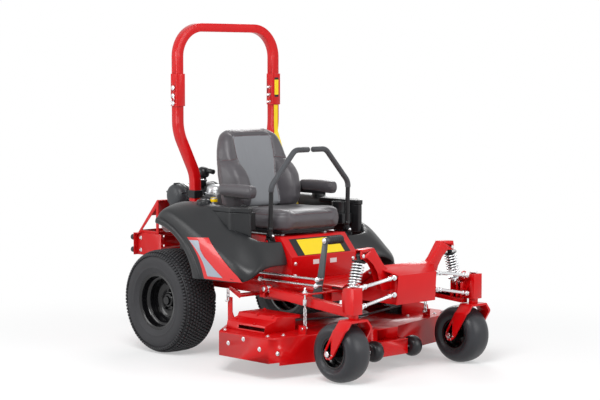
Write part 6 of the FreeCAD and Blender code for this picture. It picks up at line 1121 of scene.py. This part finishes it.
# ---------------------------------------------------------------- riser plates, pedal pad and roll bar trim
# Printed vinyl films are stuck on the riser and the roll bar; the pedal carries a ribbed rubber sleeve and a
# zinc bolt. Every film is left plain. Spring-wire hairpins hang from the roll bar's lock pins.
def printed_film(name, colour, roughness):
    """Thin vinyl film: one printed colour, faintly mottled, smoother than the paint round it."""
    material, tree = new_material(name)
    place = add_node(tree, "ShaderNodeTexCoord")
    cloud = add_node(tree, "ShaderNodeTexNoise", {"Scale": 25.0, "Detail": 3.0}, {"Vector": (place, "Object")})
    tone = add_node(tree, "ShaderNodeMix", {"data_type": "RGBA"}, {"Factor": (cloud, "Fac")})
    tone.inputs[6].default_value = linear(colour)
    tone.inputs[7].default_value = tuple(c * 0.9 for c in linear(colour)[:3]) + (1.0,)
    body = add_node(tree, "ShaderNodeBsdfPrincipled", {"Roughness": roughness, "IOR": 1.5}, {"Base Color": (tone, 2)})
    add_node(tree, "ShaderNodeOutputMaterial", {}, {"Surface": (body, 0)})
    return material


yellow_film = printed_film("yellow_vinyl_film", "#F2D400", 0.35)
white_film = printed_film("white_vinyl_film", "#D9D9D9", 0.35)
PANEL_TOP, PANEL_LOW = Vector((682.0, 0.0, 705.0)), Vector((780.0, 0.0, 597.0))
PANEL_OUT = Vector((108.0, 0.0, 98.0)).normalized()


def panel_film(name, y0, y1, share0, share1, lift, material, rounds):
    """A thin plate on the sloping riser panel, between two shares of the slope."""
    plate, faces = [], []
    for out in (lift - 1.0, lift):
        for share, y in ((share0, y0), (share1, y0), (share1, y1), (share0, y1)):
            spot = PANEL_TOP + (PANEL_LOW - PANEL_TOP) * share + PANEL_OUT * out
            plate.append(at(spot.x, y, spot.z))
    add = [(0, 1, 2, 3), (4, 7, 6, 5), (0, 4, 5, 1), (1, 5, 6, 2), (2, 6, 7, 3), (3, 7, 4, 0)]
    return piece(name, plate, add, material, "frame", rounds=rounds)


panel_film("riser_plate", -204, 212, 0.13, 0.95, 2.2, black_coat, 0.6)
panel_film("riser_film", -150, 165, 0.19, 0.94, 3.0, yellow_film, 0.3)
for name, y0, y1, z0, z1 in (("right", -90, -44, 549, 575), ("left", 44, 96, 547, 573)):
    corners = [at(780 + lift, y, z) for lift in (0.2, 1.0) for y, z in ((y0, z0), (y1, z0), (y1, z1), (y0, z1))]
    piece("riser_label_" + name, corners, [(0, 1, 2, 3), (4, 7, 6, 5), (0, 4, 5, 1), (1, 5, 6, 2), (2, 6, 7, 3),
                                           (3, 7, 4, 0)], white_film, "frame", rounds=0.3)
bent_bar("pedal_sleeve", [(1141, -326, 726), (1141, -216, 726)], (), 20.5, turf_rubber, "lift_pedal", round_end=3.0)
for n in range(7):
    ring, faces = turned([(22.4, -3), (22.4, 3), (20.0, 3), (20.0, -3)], at(1141, -312 + 15 * n, 726), 1, 36)
    piece("pedal_sleeve_rib_%d" % n, ring, faces, turf_rubber, "lift_pedal", rounds=0.8)
points, faces = turned([(0.1, 10), (6, 10), (9.5, 7), (10, 2), (15, 1.5), (15, 0), (0.1, 0)], at(1141, -350, 726), -1,
                       24, closed=False)
piece("pedal_bolt", points, faces, zinc, "lift_pedal", rounds=0.4)


def leg_film(name, z0, z1, y0, y1, material):
    """A strip of film down the front of the left upright, laid on it by looking at it from the front."""
    leg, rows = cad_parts["rops_uprights"], []
    for n in range(13):
        z = z0 + (z1 - z0) * n / 12
        line = []
        for y in (y0, (y0 + y1) / 2, y1):
            hit, where, normal, index = leg.ray_cast(at(200, y, z), Vector((-1, 0, 0)))
            line.append(Vector((where.x + 0.0008, y / 1000, where.z)))
        rows.append(line)
    points = [p for line in rows for p in line]
    faces = [(a * 3 + b, a * 3 + b + 1, a * 3 + b + 4, a * 3 + b + 3) for a in range(12) for b in range(2)]
    return piece(name, points, faces, material, "frame")


leg_film("roll_bar_film_long", 1244, 1438, 364, 396, yellow_film)
leg_film("roll_bar_film_short", 1500, 1592, 364, 396, yellow_film)
for name, z0, z1 in (("low", 1486, 1500), ("high", 1592, 1606)):
    leg_film("roll_bar_film_edge_" + name, z0, z1, 364, 396, black_coat)
for label, side in SIDES:
    plan = [(-50 + a * 33, side * 274 + b * 33) for a, b in ((-1, -1), (1, -1), (1, 1), (-1, 1))]
    upright_block("upright_clamp_" + label, plan, 892, 938, black_coat, "frame", 5.0)
    hairpin = [(-86, side * 430, 1492), (-84, side * 431, 1474), (-82, side * 431, 1452), (-79, side * 431, 1438),
               (-76, side * 431, 1452), (-77, side * 431, 1472), (-80, side * 430, 1486)]
    bent_bar("hairpin_" + label, hairpin, (8, 8, 2.5, 6, 8), 1.8, zinc, "frame")

# ---------------------------------------------------------------- bolts on the deck, cowl, riser and bumper
# Hexagon flange bolts hold the folded plates together: zinc plated where they are serviced, and painted over
# in red on the belt covers. They are drawn on the plates they clamp.
def flange_bolts(name, spots, radius, body, material):
    """Hexagon bolt heads with flanges, each set on a plate by looking from a place in mm toward it."""
    points, faces = [], []
    for node, x, y, z, toward in spots:
        toward = Vector(toward).normalized()
        hit, where, normal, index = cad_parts[node].ray_cast(at(x, y, z), toward)
        if not hit:
            continue
        across = normal.orthogonal().normalized()
        other = normal.cross(across)
        start = len(points)
        levels = ((1.55, 0.0, 24), (1.55, 1.6, 24), (1.05, 2.4, 24))
        for size, height, steps in levels:
            for k in range(steps):
                turn = 2 * math.pi * k / steps
                points.append(where + (across * math.cos(turn) + other * math.sin(turn)) * radius * size / 1000
                              + normal * height / 1000)
        for low in range(2):
            for k in range(24):
                a, b = start + low * 24 + k, start + low * 24 + (k + 1) % 24
                faces.append((a, b, b + 24, a + 24))
        faces.append(tuple(start + 48 + k for k in range(24)))
        start = len(points)
        for size, height in ((0.98, 2.2), (0.98, radius * 0.95), (0.8, radius * 1.1)):
            for k in range(6):
                turn = 2 * math.pi * k / 6
                points.append(where + (across * math.cos(turn) + other * math.sin(turn)) * radius * size / 1000
                              + normal * height / 1000)
        for low in range(2):
            for k in range(6):
                a, b = start + low * 6 + k, start + low * 6 + (k + 1) % 6
                faces.append((a, b, b + 6, a + 6))
        faces.append(tuple(start + 12 + k for k in range(6)))
    return piece(name, points, faces, material, body, smooth=False)


down, back_way = (0, 0, -1), (-1, 0, 0)
deck_spots, cover_spots, cowl_spots, riser_spots, rear_spots = [], [], [], [], []
for label, side in SIDES:
    inwards = (0, -side, 0)
    deck_spots += [("deck_shell", x, side * 900, z, inwards) for x, z in ((805, 170), (1060, 166), (930, 206))]
    deck_spots += [("deck_shell", 1400, side * 690, 146, back_way), ("deck_shell", 1060, side * 690, 500, down),
                   ("deck_shell", 1085, side * 600, 500, down), ("deck_shell", 1040, side * 420, 500, down),
                   ("deck_shell", 720, side * 700, 500, down)]
    cover_spots += [("belt_covers", x, side * y, 600, down) for x, y in ((712, 610), (712, 400), (900, 640),
            (960, 560), (960, 380), (830, 560))]
    cowl_spots += [("front_cowl", 1800, side * y, z, back_way) for y, z in ((205, 560), (205, 430))]
    riser_spots += [("seat_riser", 900, side * 228, z, back_way) for z in (560, 490)]
    riser_spots += [("seat_riser", x, side * 400, 640, inwards) for x in (260, 420, 580)]
    rear_spots += [("rear_bumper", -540, side * 600, z, inwards) for z in (545, 620)]
    rear_spots += [("rear_bumper", -900, side * y, 585, (1, 0, 0)) for y in (280, 90)]
flange_bolts("deck_bolts", deck_spots, 8.0, "deck", zinc)
flange_bolts("belt_cover_bolts", cover_spots, 7.0, "deck", red_coat)
flange_bolts("cowl_bolts", cowl_spots, 7.5, "frame", zinc)
flange_bolts("riser_bolts", riser_spots, 7.0, "frame", zinc)
flange_bolts("bumper_bolts", rear_spots, 8.0, "frame", zinc)
